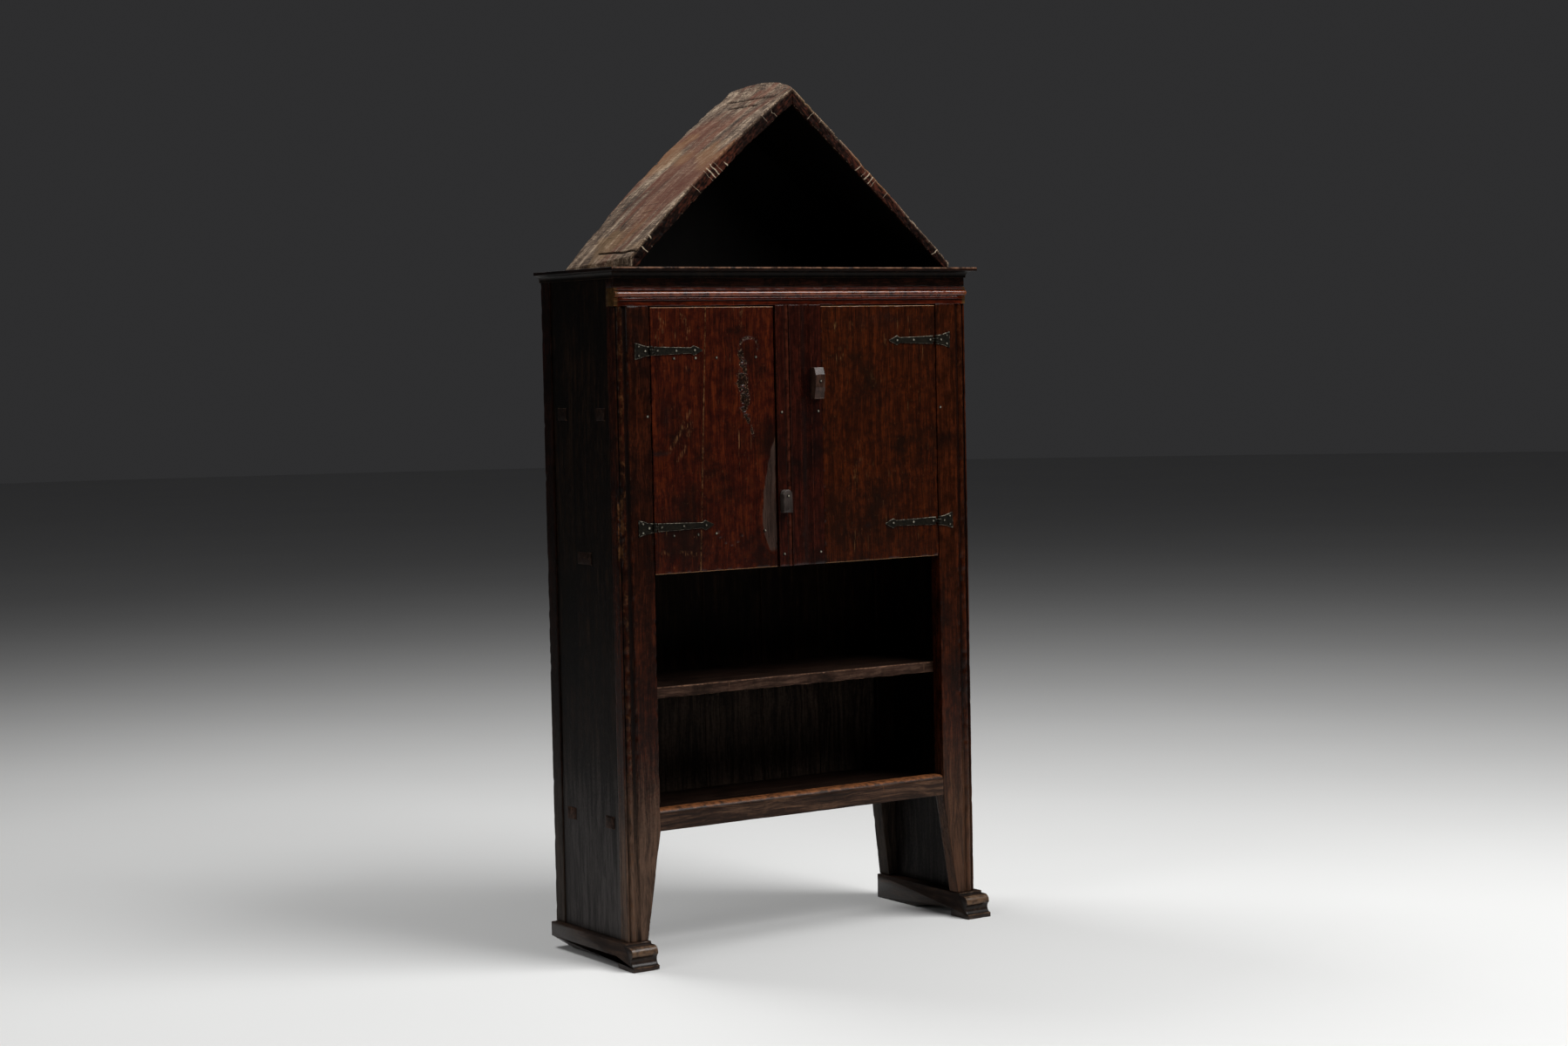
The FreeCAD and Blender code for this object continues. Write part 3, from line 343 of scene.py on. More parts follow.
class Finish:
    """One material, with the shader at its end."""

    def __init__(self, name):
        self.material = bpy.data.materials.new(name)
        self.material.use_nodes = True
        self.tree = self.material.node_tree
        self.shader = self.tree.nodes["Principled BSDF"]

    def node(self, kind, settings, sockets, output=0):
        """Adds a node: its settings first (a ramp's stops among them), then the values or links of its
        sockets."""
        node = self.tree.nodes.new(kind)
        for key, value in settings.items():
            if key == "stops":
                ramp = node.color_ramp.elements
                while len(ramp) < len(value):
                    ramp.new(1.0)
                for stop, (position, colour) in zip(ramp, value):
                    stop.position = position
                    stop.color = colour + (1,)
            else:
                setattr(node, key, value)
        for key, value in sockets.items():
            feed(self.tree, node.inputs[key], value)
        return Wire(self.tree, node.outputs[output])

    def place(self):
        """Where a point lies on the cupboard at rest."""
        return self.node("ShaderNodeTexCoord", {}, {}, "Object")

    def times(self, vector, factors):
        """A vector stretched along its axes."""
        return self.node("ShaderNodeVectorMath", {"operation": "MULTIPLY"}, {0: vector, 1: factors})

    def noise(self, vector, scale, detail=3.0, rough=0.55):
        """Cloudy noise around one half."""
        return self.node("ShaderNodeTexNoise", {}, {"Vector": vector, "Scale": scale, "Detail": detail,
                                                    "Roughness": rough})

    def clear(self, value, low, high):
        """An eased step from 0 to 1 between two values."""
        return self.node("ShaderNodeMapRange", {"interpolation_type": "SMOOTHSTEP"},
                         {"Value": value, "From Min": low, "From Max": high})

    def mark(self, name):
        """A piece's own attribute, 0 where it has none."""
        return self.node("ShaderNodeAttribute", {"attribute_name": name}, {}, "Fac")

    def blend(self, share, first, second):
        """A colour between two colours."""
        return self.node("ShaderNodeMix", {"data_type": "RGBA"}, {0: share, 6: first, 7: second}, 2)

    def set(self, **sockets):
        """Sets or links the shader's own sockets."""
        for key, value in sockets.items():
            feed(self.tree, self.shader.inputs[key.replace("_", " ")], value)
        return self.material


def tone(red, green, blue):
    """A screen colour from 0 to 255 as the linear colour that a shader takes."""
    c = np.array([red, green, blue]) / 255
    linear = np.where(c <= 0.04045, c / 12.92, ((c + 0.055) / 1.055) ** 2.4)
    return tuple(float(x) for x in linear)


def paint(red, green, blue):
    """The same with the alpha that a colour socket wants."""
    return tone(red, green, blue) + (1.0,)


# %% [markdown]
# Waxed wood
#
# Long years of wax and smoke lie on this wood. Seen close, it has broad streaks that run with the board, fine
# fibres, short dark pores, clouds where the wax has gone dark, and rubbed arrises. The grain is noise that is
# drawn out along the board, and a slow wander bends it. Marks on the mesh say where the wood is rubbed light
# (wear, on a few front and top arrises also a painted highlight), dark with grime and with painted shade in
# hollows, creases and behind edges, grey and dull (dust), scuffed by fine strokes (scuff) or torn open
# (scar).

# %% Wood
PULL = {"x": (0.05, 1, 1), "y": (1, 0.05, 1), "z": (1, 1, 0.05)}
# Colour of grime, and of the shade painted into hollows, creases and faces behind edges.
GRIME_AND_SHADE = (8, 4, 3)
TORN = ((9, 6, 4), (46, 34, 24))
SPLINTER = (120, 102, 82)
DRY_SHADES = (0.74, 1.26)   # how much darker and lighter than its grey dusty wood gets


def wood(name, tones, along, smoke, rubbed, grey=(58, 48, 41), gloss=0.22, clouds=0.8, relief=0.3, wax=0.12,
         shine=0.14, grain=0.34):
    """Tones run from the darkest streak to the lightest. Smoke is the colour of the dark clouds, rubbed
    that of the arrises, grey that of dusty places, gloss the roughness, wax the weight of the clear coat,
    shine how much the wood under it reflects, and grain the share of broad streaks in the figure."""
    f = Finish(name)
    p = f.place()
    wander = f.noise(p, 5.0, 2.0)
    bent = f.node("ShaderNodeVectorMath", {"operation": "MULTIPLY_ADD"},
                  {0: f.node("ShaderNodeCombineXYZ", {}, {"X": wander, "Y": wander, "Z": wander}),
                   1: (0.03, 0.03, 0.03), 2: p})
    q = f.times(bent, PULL[along])
    streak = f.noise(q, 95.0, 6.0, 0.65)
    fibre = f.noise(q, 430.0, 3.0, 0.6)
    pore = f.clear(f.noise(q, 1100.0, 1.0), 0.62, 0.72)
    cloud = f.noise(p, 6.0, 5.0, 0.62)
    mottle = f.noise(p, 42.0, 5.0, 0.65)
    speckle = f.noise(p, 170.0, 3.0)
    dark, mid, light = [tone(*t) for t in tones]
    colour = f.node("ShaderNodeValToRGB", {"stops": [(0.38, dark), (0.50, mid), (0.63, light)]},
                    {"Fac": grain * streak + 0.30 * fibre + (0.70 - grain) * mottle})
    colour = f.blend(f.clear(cloud, 0.48, 0.66) * clouds, colour, paint(*smoke))
    colour = f.blend(f.clear(mottle, 0.54, 0.68) * 0.5, colour, paint(*smoke))
    colour = f.blend(pore * 0.6, colour, paint(*[c // 3 for c in tones[0]]))
    # Grime and painted shade darken the colour where this mark is high.
    grime = f.clear(f.mark("grime") + 0.5 * (mottle - 0.5) + 0.3 * (speckle - 0.5), 0.18, 0.95)
    colour = f.blend(grime * 0.75, colour, paint(*GRIME_AND_SHADE))
    dust = f.clear(f.mark("dust") + 0.5 * speckle + 0.5 * (streak - 0.5), 0.35, 1.15)
    shades = [paint(*[c * shade for c in grey]) for shade in DRY_SHADES]
    dry = f.blend(f.clear(0.6 * streak + 0.4 * fibre, 0.40, 0.60), *shades)
    colour = f.blend(dust, colour, dry)
    slant = f.node("ShaderNodeMapping", {},
                   {"Vector": p, "Rotation": (0.15, 0.35, 0.1), "Scale": (1, 1, 0.05)})
    scratch = f.clear(f.noise(slant, 300.0, 2.0), 0.68, 0.76) * f.clear(f.noise(p, 9.0, 2.0), 0.48, 0.60)
    fleck = f.clear(f.noise(f.times(p, (1, 1, 0.4)), 360.0, 2.0), 0.69, 0.77)
    colour = f.blend(0.45 * scratch + 0.3 * fleck, colour, paint(*rubbed))
    # Rubbed arrises turn light; on a few front and top arrises this mark also stands for a painted highlight.
    rub = f.clear(f.mark("wear") * (0.40 + 1.1 * f.noise(p, 70.0, 5.0, 0.7)), 0.78, 1.12)
    colour = f.blend(rub * 0.75, colour, paint(*rubbed))
    strokes = f.node("ShaderNodeMapping", {}, {"Vector": p, "Rotation": (0, 0.3, 0), "Scale": (1, 1, 0.12)})
    scuff = f.clear(f.noise(strokes, 620.0, 2.0), 0.53, 0.62) * f.mark("scuff")
    colour = f.blend(0.33 * scuff, colour, paint(*rubbed))
    scar = f.clear(f.mark("scar") + 0.7 * (speckle - 0.5), 0.28, 0.80)
    torn = f.blend(f.clear(f.noise(p, 330.0, 3.0), 0.50, 0.62), *[paint(*t) for t in TORN])
    colour = f.blend(scar * 0.9, colour, torn)
    lip = 4 * scar * (1 - scar) * f.clear(f.noise(p, 300.0, 2.0), 0.54, 0.62)
    colour = f.blend(lip * 0.6, colour, paint(*SPLINTER))
    height = 0.5 * fibre + 0.6 * streak + 0.3 * mottle - 0.5 * pore + 0.35 * speckle - 0.4 * scratch
    bump = f.node("ShaderNodeBump", {},
                  {"Strength": relief, "Distance": 0.8 * mm, "Height": height}, "Normal")
    rough = gloss + 0.16 * (cloud - 0.5) + 0.06 * dust + 0.1 * grime + 0.1 * (fibre - 0.5)
    coat = wax * (1 - scar) * (1 - dust)
    return f.set(Base_Color=colour, Roughness=rough, Normal=bump, Coat_Weight=coat, Coat_Roughness=0.1,
                 Specular_IOR_Level=shine)


# The left stile's wood is a darker copy of the right stile's: painted shade, for the light falls from the
# right.
left_stile_shaded_z = wood("left_stile_wood_painted_shade", ((14, 4, 2), (27, 9, 4), (60, 24, 10)), "z", (8, 4, 3), (84, 54, 30),
                 (67, 51, 41), gloss=0.26, wax=0.04, shine=0.07)
rear_z = wood("rear_stile_wood", ((6, 3, 2), (14, 6, 4), (34, 15, 9)), "z", (5, 3, 2), (44, 24, 15),
              (44, 37, 32), gloss=0.3, wax=0.0, shine=0.05)
warm_z = wood("right_stile_wood", ((18, 6, 2), (35, 12, 4), (70, 29, 11)), "z", (12, 5, 3), (74, 38, 20),
              (60, 40, 28), shine=0.08, wax=0.06)
side_z = wood("side_wood_upright", ((4, 2, 2), (10, 6, 4), (32, 20, 12)), "z", (4, 3, 2), (44, 32, 22),
              (50, 47, 46), gloss=0.36, shine=0.05, wax=0.0, grain=0.45)
carcass_x = wood("rail_wood_level", ((24, 5, 2), (45, 11, 4), (80, 27, 9)), "x", (16, 5, 2), (110, 54, 30),
                 (52, 36, 19), gloss=0.1, clouds=0.5, relief=0.04, wax=0.5, shine=0.06)
frieze_x = wood("frieze_wood_level", ((7, 3, 2), (16, 7, 4), (42, 18, 10)), "x", (5, 3, 3), (46, 22, 14),
                relief=0.08, shine=0.08, wax=0.06)
cornice_x = wood("cornice_wood_level", ((7, 3, 2), (13, 6, 4), (32, 14, 8)), "x", (5, 3, 3), (118, 84, 64),
                 gloss=0.3, shine=0.08, wax=0.0)
inside_x = wood("shelf_wood_level", ((27, 17, 13), (49, 34, 27), (80, 60, 49)), "x", (16, 11, 8),
                (124, 92, 72), gloss=0.4, wax=0.0, shine=0.03, grain=0.55)
sill_x = wood("bottom_rail_wood", ((20, 12, 8), (44, 29, 21), (86, 62, 46)), "x", (24, 15, 10), (122, 74, 42),
              gloss=0.42, clouds=0.4, wax=0.05, shine=0.08, grain=0.62)
# The back boards are painted very dark: painted shade of the deep bays.
back_painted_shade_z = wood("back_wood_painted_shade", ((7, 4, 3), (17, 11, 7), (38, 25, 16)), "z", (6, 4, 3), (38, 25, 16),
                gloss=0.42, wax=0.0, shine=0.02, grain=0.5)
left_door_wood = wood("left_door_waxed_wood", ((20, 4, 2), (40, 10, 4), (76, 29, 9)), "z", (13, 4, 2),
                      (124, 88, 56), (41, 30, 25))
right_door_wood = wood("right_door_waxed_wood", ((18, 5, 2), (35, 11, 3), (69, 27, 7)), "z", (14, 5, 2),
                       (112, 80, 48))
mullion_wood = wood("mullion_waxed_wood", ((14, 3, 2), (30, 8, 4), (56, 18, 9)), "z", (9, 3, 2), (66, 30, 18))
button_wood = wood("upper_button_wood", ((24, 14, 10), (41, 26, 20), (68, 48, 39)), "z", (22, 15, 12),
                   (108, 88, 76), gloss=0.26, shine=0.1)
bar_wood = wood("lower_button_wood", ((30, 24, 22), (48, 41, 38), (74, 66, 61)), "z", (30, 25, 23),
                (112, 104, 98), gloss=0.3)
foot_wood = wood("foot_dry_wood", ((23, 14, 10), (40, 28, 21), (66, 49, 38)), "y", (19, 12, 9), (104, 80, 60),
                 gloss=0.34, grain=0.55)
# The gable's back board is painted nearly black: painted shade inside the gable.
gable_painted_shade = wood("gable_wood_painted_shade", ((3, 2, 2), (5, 4, 3), (9, 7, 5)), "z", (3, 2, 2), (9, 7, 5),
            gloss=0.6, wax=0.0, shine=0.03)
print("woods:", sorted(m.name for m in bpy.data.materials if "wood" in m.name))


# %% [markdown]
# Weathered roof wood
#
# The two roof boards were hewn, not planed, and never waxed on top. Their outer faces have gone grey-brown
# with red and yellow patches, and the tool left long strokes down the slope. The underside and the ends stay
# brown. Marks say where a board is weathered (dust), rubbed (wear), cracked, or painted dark as shade on its
# inner face under the gable (scar), and where its front end is checked (check).

# %% Roof wood
ROOF_OUT, ROOF_FALL = 0.66, 0.75        # shares of a step along the slope that go out and down
STROKE_LEAN = 0.25                      # how far the tool's strokes lean across the board
BAND_PULL, STROKE_PULL = 0.16, 0.03     # bands and strokes are drawn out by one over these
RED_MIDDLE = -1.15                      # red patches gather here on the way down


def hewn_wood(name):
    """Dry grey wood. A point's way down the slope is its distance from the middle plane less its height,
    each weighted with its share of the slope. Bands and light strokes are drawn out along it, fine grain
    lines run from front to back, and red patches gather half way down."""
    f = Finish(name)
    p = f.place()
    x, y, z = [f.node("ShaderNodeSeparateXYZ", {}, {"Vector": p}, k) for k in range(3)]
    out = (x * x) ** 0.5
    down = ROOF_OUT * out - ROOF_FALL * z
    across = y - STROKE_LEAN * down
    lift = ROOF_FALL * out + ROOF_OUT * z
    slope = f.node("ShaderNodeCombineXYZ", {}, {"X": BAND_PULL * down, "Y": across, "Z": lift})
    thin = f.node("ShaderNodeCombineXYZ", {}, {"X": STROKE_PULL * down, "Y": across + 0.1 * down, "Z": lift})
    band = f.noise(slope, 34.0, 6.0, 0.62)
    patch = f.noise(slope, 15.0, 3.0, 0.55)
    stroke = f.clear(f.noise(thin, 330.0, 2.0), 0.66, 0.76) * f.clear(f.noise(p, 7.0, 2.0), 0.40, 0.56)
    grain = f.noise(f.times(p, PULL["y"]), 520.0, 4.0, 0.7)
    split = f.clear(f.noise(f.times(p, PULL["y"]), 210.0, 3.0), 0.65, 0.70)
    fine = f.noise(p, 300.0, 5.0, 0.75)
    fibre = f.noise(slope, 230.0, 4.0, 0.6)
    zone = f.noise(p, 6.5, 3.0, 0.55)
    figure = 0.28 * band + 0.26 * grain + 0.22 * fine + 0.24 * fibre
    warm = 0.6 * fibre + 0.4 * patch
    brown = f.node("ShaderNodeValToRGB", {"stops": [(0.42, tone(8, 4, 3)), (0.5, tone(25, 12, 8)),
                                                    (0.60, tone(58, 28, 19))]}, {"Fac": warm})
    grey = f.node("ShaderNodeValToRGB", {"stops": [(0.42, tone(34, 26, 21)), (0.5, tone(92, 75, 62)),
                                                   (0.58, tone(172, 152, 130))]}, {"Fac": figure})
    away = down - RED_MIDDLE
    middle = f.clear((away * away) ** 0.5, 0.26, 0.06)
    grey = f.blend(f.clear(patch + 0.1 * middle, 0.49, 0.64) * 0.7, grey, paint(94, 52, 38))
    grey = f.blend(f.clear(zone, 0.54, 0.66) * 0.25, grey, paint(150, 116, 76))
    grey = f.blend(f.clear(zone, 0.44, 0.32) * 0.35, grey, paint(52, 42, 36))
    grey = f.blend(split * 0.5, grey, paint(30, 21, 16))
    grey = f.blend(stroke * 0.5, grey, paint(178, 160, 136))
    colour = f.blend(f.mark("dust"), brown, grey)
    wear = f.clear(f.mark("wear") * (0.30 + 1.2 * f.noise(p, 120.0, 5.0, 0.7)), 0.86, 1.15)
    colour = f.blend(wear * 0.75, colour, paint(150, 126, 102))
    course = down + 0.008 * (f.noise(p, 70.0, 2.0) - 0.5)
    check = f.clear(f.noise(f.node("ShaderNodeCombineXYZ", {}, {"X": course}), 170.0, 1.0), 0.60, 0.62)
    colour = f.blend(0.8 * check * f.mark("check"), colour, paint(158, 142, 122))
    # Cracks, and the shade painted on the inner face under the gable, turn nearly black.
    colour = f.blend(f.mark("scar"), colour, paint(5, 4, 3))
    height = 0.8 * band + 0.5 * grain + 0.3 * fine - 0.5 * split + 0.2 * stroke
    bump = f.node("ShaderNodeBump", {}, {"Strength": 0.6, "Distance": 1.2 * mm, "Height": height}, "Normal")
    rough = 0.60 + 0.25 * (patch - 0.5) + 0.15 * (fine - 0.5)
    return f.set(Base_Color=colour, Roughness=rough, Normal=bump, Specular_IOR_Level=0.02)


roof_wood = hewn_wood("roof_hewn_wood")
print("roof:", roof_wood.name)


# %% [markdown]
# Wrought iron
#
# Hand-forged hinges are nearly black, with a warm rust bloom and bright rubbed edges. Metal in Blender
# shows its colour only in reflections, and black scale reflects little. So it is hardly metallic here,
# and the rust still less.

# %% Iron
def forged_iron(name):
    """Dark scale with rust patches where a noise is high, and edges rubbed to bare metal."""
    f = Finish(name)
    p = f.place()
    bloom = f.clear(f.noise(p, 240.0, 5.0, 0.7), 0.40, 0.66)
    pits = f.noise(p, 700.0, 3.0)
    colour = f.blend(bloom, paint(13, 12, 9), paint(23, 19, 12))
    wear = f.clear(f.mark("wear") * (0.4 + 1.1 * f.noise(p, 150.0, 3.0)), 0.74, 1.15)
    colour = f.blend(wear * 0.85, colour, paint(134, 128, 114))
    bump = f.node("ShaderNodeBump", {}, {"Strength": 0.5, "Distance": 0.4 * mm, "Height": pits}, "Normal")
    metal = 0.1 - 0.05 * bloom
    rough = 0.40 + 0.10 * bloom + 0.2 * (pits - 0.5)
    return f.set(Base_Color=colour, Metallic=metal, Roughness=rough, Normal=bump, Specular_IOR_Level=0.06)


iron = forged_iron("wrought_iron_scale")
print("iron:", iron.name)


# %% [markdown]
# Plain boards
#
# A board is a rectangle carried along its grain. The case has many of them: side boards, back boards,
# frieze, cornice. One function takes the corners of the node's box, so the board is as long, wide and
# thick as the part says.

# %% Boards from the frame
AXES = {"x": "suv", "y": "usv", "z": "uvs"}     # which of station s and profile u, v runs along X, Y and Z
SIDES = (("left", -1), ("right", 1))            # each side with its sign along X


def from_corner(corner, along):
    """Places stations along one axis and a profile across it, counted from a corner."""
    def place(s, u, v):
        way = {"s": s, "u": u, "v": v}
        return at(*[start + way[key] for start, key in zip(corner, AXES[along])])
    return place


def box_board(low, high, along, depth, step=(12 * mm, 8 * mm), soft=1.2 * mm, marks=None):
    """A board between two corners: a rectangle with eased arrises carried along one axis."""
    size = dict(zip(AXES[along], high - low))
    profile = rectangle(size["u"], size["v"], step[1], soft)
    return sweep(profile, stations(0, size["s"], step[0]), from_corner(low, along), depth, soft, marks)


GREY_FROM, GREY_FULL = 0.62, 0.10   # heights at which the wood begins to pale and is palest
BAY_CLEAN, BAY_DUSTY = 0.64, 0.50   # heights between which the dust of the lower bay begins


def grey_low(points, edge):
    """Dull grey wood towards the floor."""
    return 0.9 * rise(points[..., 2], GREY_FROM, GREY_FULL)


STILE_LOW, STILE_HIGH = span("left_front_stile")
FRONT = STILE_LOW[1]
STILE_BACK = STILE_HIGH[1]
HALF = -STILE_LOW[0]
SIDE_INNER = -span("left_side_board")[1][0]


def grey_outside(points, edge):
    """The sides have paled towards the floor, but far less on their inner faces."""
    outer = rise(np.abs(points[..., 0]), SIDE_INNER, SIDE_INNER + 10 * mm)
    return grey_low(points, edge) * (0.4 + 0.6 * outer)


for i, side in enumerate(("left", "right")):
    name = side + "_side_board"
    shell = box_board(*span(name), "z", worn(10 + i, 0.5 * mm), marks={"dust": grey_outside})
    make_piece("worn_" + name, [shell], side_z, [name])


def dusty_bay(points, edge):
    """Dust on the back of the lower open bay."""
    return 0.5 * rise(points[..., 2], BAY_CLEAN, BAY_DUSTY)


for i in range(1, 6):
    name = f"back_board_{i}"
    shell = box_board(*span(name), "z", worn(20 + i, 0.6 * mm, 1.5 * mm), (14 * mm, 9 * mm), 2 * mm,
                      {"dust": dusty_bay})
    make_piece("rough_" + name, [shell], back_painted_shade_z, [name])
shell = box_board(*span("frieze_board"), "x", worn(31, 0.3 * mm), (8 * mm, 5 * mm))
make_piece("dark_frieze_board", [shell], frieze_x, ["frieze_board"])
CORNICE_LOW, CORNICE_HIGH = span("cornice_board")


def rubbed_lit_brow(points, edge):
    """The cornice's upper front arris is painted light: rubbed to bare wood, and a painted highlight."""
    brow = rise(points[..., 1], CORNICE_LOW[1] + 5 * mm, CORNICE_LOW[1] + 2 * mm)
    top = rise(points[..., 2], CORNICE_HIGH[2] - 5 * mm, CORNICE_HIGH[2] - 3 * mm)
    return np.maximum(0.6 * edge, brow * top)


shell = box_board(CORNICE_LOW, CORNICE_HIGH, "x", worn(32, 0.3 * mm, 1.2 * mm, dent=22 * mm),
                  (5 * mm, 3 * mm), 1.5 * mm, {"wear": rubbed_lit_brow})
make_piece("thin_cornice_board", [shell], cornice_x, ["cornice_board"])


# %% [markdown]
# Front stiles
#
# The two front stiles carry a moulding on their outer edge: a fillet, a sunk quirk, a round and a hollow
# that rises to the flat. Below the bottom rail the inner edge is sawn to a slant, which makes the leg. So
# the profile is carried upwards, and the flat part of it is squeezed where the leg tapers.

# %% Stiles
LEG_TOP = span("bottom_rail")[0][2]
STILE_WIDE, STILE_DEEP, STILE_TOE = 87 * mm, 34 * mm, 49 * mm
REAR_WIDE, REAR_TOE = 70 * mm, 44 * mm
HOLLOW_END = 31 * mm
FLAKE_FOOT, FLAKE_HEAD = (0.872, 0.90), (1.055, 1.02)   # heights over which the flaked strip begins and ends
STILE_PROFILE = draw(
    (0, STILE_DEEP), (0, 4 * mm), (4 * mm, 4 * mm), (4 * mm, 7 * mm), (7 * mm, 7 * mm), (7 * mm, 6 * mm),
    (14.5 * mm, 1 * mm, 22 * mm, 6 * mm), (27.4 * mm, 4.3 * mm, HOLLOW_END, 0), (STILE_WIDE, 0),
    (STILE_WIDE, STILE_DEEP), step=3.5 * mm, soft=0.8 * mm)


def leg_squeeze(u, z, flat, wide, toe, foot):
    """Widths past flat shrink evenly, from wide at the bottom rail to toe at the foot."""
    width = toe + (wide - toe) * np.clip((z - foot) / (LEG_TOP - foot), 0, 1)
    return np.where(u > flat, flat + (u - flat) * (width - flat) / (wide - flat), u)


def front_stile(side, sign, seed):
    low, high = span(side + "_front_stile")

    def place(s, u, v):
        z = low[2] + s
        u = leg_squeeze(u, z, HOLLOW_END, STILE_WIDE, STILE_TOE, low[2])
        return at(sign * (HALF - u), FRONT + v, z)
    path = stations(0, high[2] - low[2], 4 * mm)
    wear = worn(seed, 0.4 * mm, 1.6 * mm)

    def flaked(points):
        """A strip of the left stile's outer moulding has flaked off."""
        x, y, z = np.moveaxis(points, -1, 0)
        strip = rise(x, -HALF + 15 * mm, -HALF + 11 * mm) * rise(y, FRONT + 12 * mm, FRONT + 9 * mm)
        tall = rise(z, *FLAKE_FOOT) * rise(z, *FLAKE_HEAD)
        return strip * tall * rise(hills(points, (6 * mm, 6 * mm, 16 * mm), seed), 0.32, 0.50)

    def depth(points, edge):
        return wear(points, edge) + 2.5 * mm * flaked(points)

    def bare(points, edge):
        return np.maximum(0.85 * edge, flaked(points))
    shell = sweep(STILE_PROFILE, path, place, depth, 0.8 * mm, {"dust": grey_low, "wear": bare})
    # The left stile gets the copy of the wood that is painted darker as shade.
    finish = left_stile_shaded_z if side == "left" else warm_z
    make_piece(f"moulded_{side}_stile", [shell], finish, [side + "_front_stile"])


def rear_stile(side, sign, seed):
    low, high = span(side + "_rear_stile")
    deep = high[1] - low[1]

    def place(s, u, v):
        z = low[2] + s
        u = leg_squeeze(u, z, 0, REAR_WIDE, REAR_TOE, low[2])
        return at(sign * (HALF - u), low[1] + v, z)
    profile = rectangle(REAR_WIDE, deep, 8 * mm, 1.5 * mm)
    path = stations(0, high[2] - low[2], 8 * mm)
    shell = sweep(profile, path, place, worn(seed, 0.5 * mm, 2 * mm), 1.5 * mm, {"dust": grey_low})
    make_piece(f"plain_{side}_rear_stile", [shell], rear_z, [side + "_rear_stile"])


for seed, (side, sign) in enumerate(SIDES):
    front_stile(side, sign, 40 + seed)
    rear_stile(side, sign, 44 + seed)


# %% [markdown]
# Mullion
#
# The upright between the doors is fixed. From left to right it has a flat, a sunk reed, a field, a broad
# hollow and another flat.

# %% Mullion
MULLION_LOW, MULLION_HIGH = span("mullion")
MULLION_FACE = MULLION_LOW[1]
WIDE, DEEP, UPRIGHT = MULLION_HIGH - MULLION_LOW
CUT = 5 * mm
REED = (24 * mm, 36 * mm)           # from quirk to quirk
HOLLOW_SHADE_MIDDLE = 74 * mm
MULLION_PROFILE = draw(
    (0, DEEP), (0, 0), (REED[0], 0), (REED[0], CUT), (30 * mm, 0, REED[1], CUT), (REED[1], 0),
    (65 * mm, 0), (79.5 * mm, CUT, 94 * mm, 0), (WIDE, 0), (WIDE, DEEP), step=3.5 * mm, soft=0.7 * mm)


def painted_shade_in_hollow(points, edge):
    """Painted shade in the broad hollow and in the quirks beside the reed."""
    u = points[..., 0] - MULLION_LOW[0]
    quirk = np.minimum(np.abs(u - REED[0]), np.abs(u - REED[1]))
    face = rise(points[..., 1], MULLION_FACE + 8 * mm, MULLION_FACE + 6 * mm)
    hollow = 0.6 * rise(np.abs(u - HOLLOW_SHADE_MIDDLE), 14 * mm, 4 * mm)
    return np.maximum(hollow, rise(quirk, 3 * mm, 1 * mm)) * face


shell = sweep(MULLION_PROFILE, stations(0, UPRIGHT, 5 * mm), from_corner(MULLION_LOW, "z"),
              worn(50, 0.3 * mm, 1 * mm),
              marks={"grime": painted_shade_in_hollow})
make_piece("moulded_mullion", [shell], mullion_wood, ["mullion"])


# %% [markdown]
# Top rail, bottom rail and cornice moulding
#
# The top rail is the richest moulding: flat, strip, quirk, a heavy bead that catches the light, and a
# fillet. Its lower strip stops short of the ends. The cornice moulding is a hollow, mitred at the
# corners: there, each point of its profile ends as far past the corner as it stands out from the wall.

# %% Rails
STRIP_OUT, STRIP_TOP, STRIP_END = 2.3 * mm, 19 * mm, 458 * mm
RAIL_TALL = 40 * mm
RAIL_LOW = span("top_rail")[0][2]
RAIL_PROFILE = draw(
    (0, 0), (0, 12 * mm), (-STRIP_OUT, 12 * mm), (-STRIP_OUT, 17 * mm), (0, STRIP_TOP),
    (-7 * mm, 25.5 * mm, 0, 32 * mm), (-STRIP_OUT, 36 * mm), (3 * mm, RAIL_TALL),
    (STILE_DEEP, RAIL_TALL), (STILE_DEEP, 0), step=2.5 * mm, soft=0.5 * mm)


def on_top_rail(s, u, v):
    strip = (np.abs(s) > STRIP_END) & (v < STRIP_TOP)
    return at(s, FRONT + np.where(strip, np.maximum(u, 0.3 * mm), u), RAIL_LOW + v)


def pale_ends(points, edge):
    """The end blocks have lost their wax."""
    return rise(np.abs(points[..., 0]), HALF - 14 * mm, HALF - 3 * mm)


shell = sweep(RAIL_PROFILE, stations(-HALF, HALF, 4 * mm), on_top_rail, worn(60, 0.2 * mm, 0.7 * mm), 1 * mm,
              {"dust": pale_ends})
make_piece("moulded_top_rail", [shell], carcass_x, ["top_rail"])

# %% Bottom rail
low, high = span("bottom_rail")
BOTTOM_RAIL = low
rail_high = high[2] - low[2]
ROUND = 12 * mm
EASED = 0.293 * ROUND               # the middle of a quarter round lies this far from both faces
BOTTOM_PROFILE = draw(
    (0, 0), (0, rail_high - ROUND), (EASED, rail_high - EASED, ROUND, rail_high),
    (STILE_DEEP, rail_high), (STILE_DEEP, 0), step=3 * mm, soft=1 * mm)


def rubbed_and_lit_top(points, edge):
    """The rail's round top edge is rubbed by what was put on the shelf behind it; the whole upper part is
    also painted light, as a painted highlight.
    """
    top = rise(points[..., 2], BOTTOM_RAIL[2] + 32 * mm, BOTTOM_RAIL[2] + 46 * mm)
    return np.maximum(0.7 * edge, 1.05 * top)


def painted_shade_behind(points, edge):
    """Painted shade on the upper faces, behind the rubbed front edge."""
    front = points[..., 1].min()
    return 1.2 * rise(points[..., 1], front + 4 * mm, front + 12 * mm)


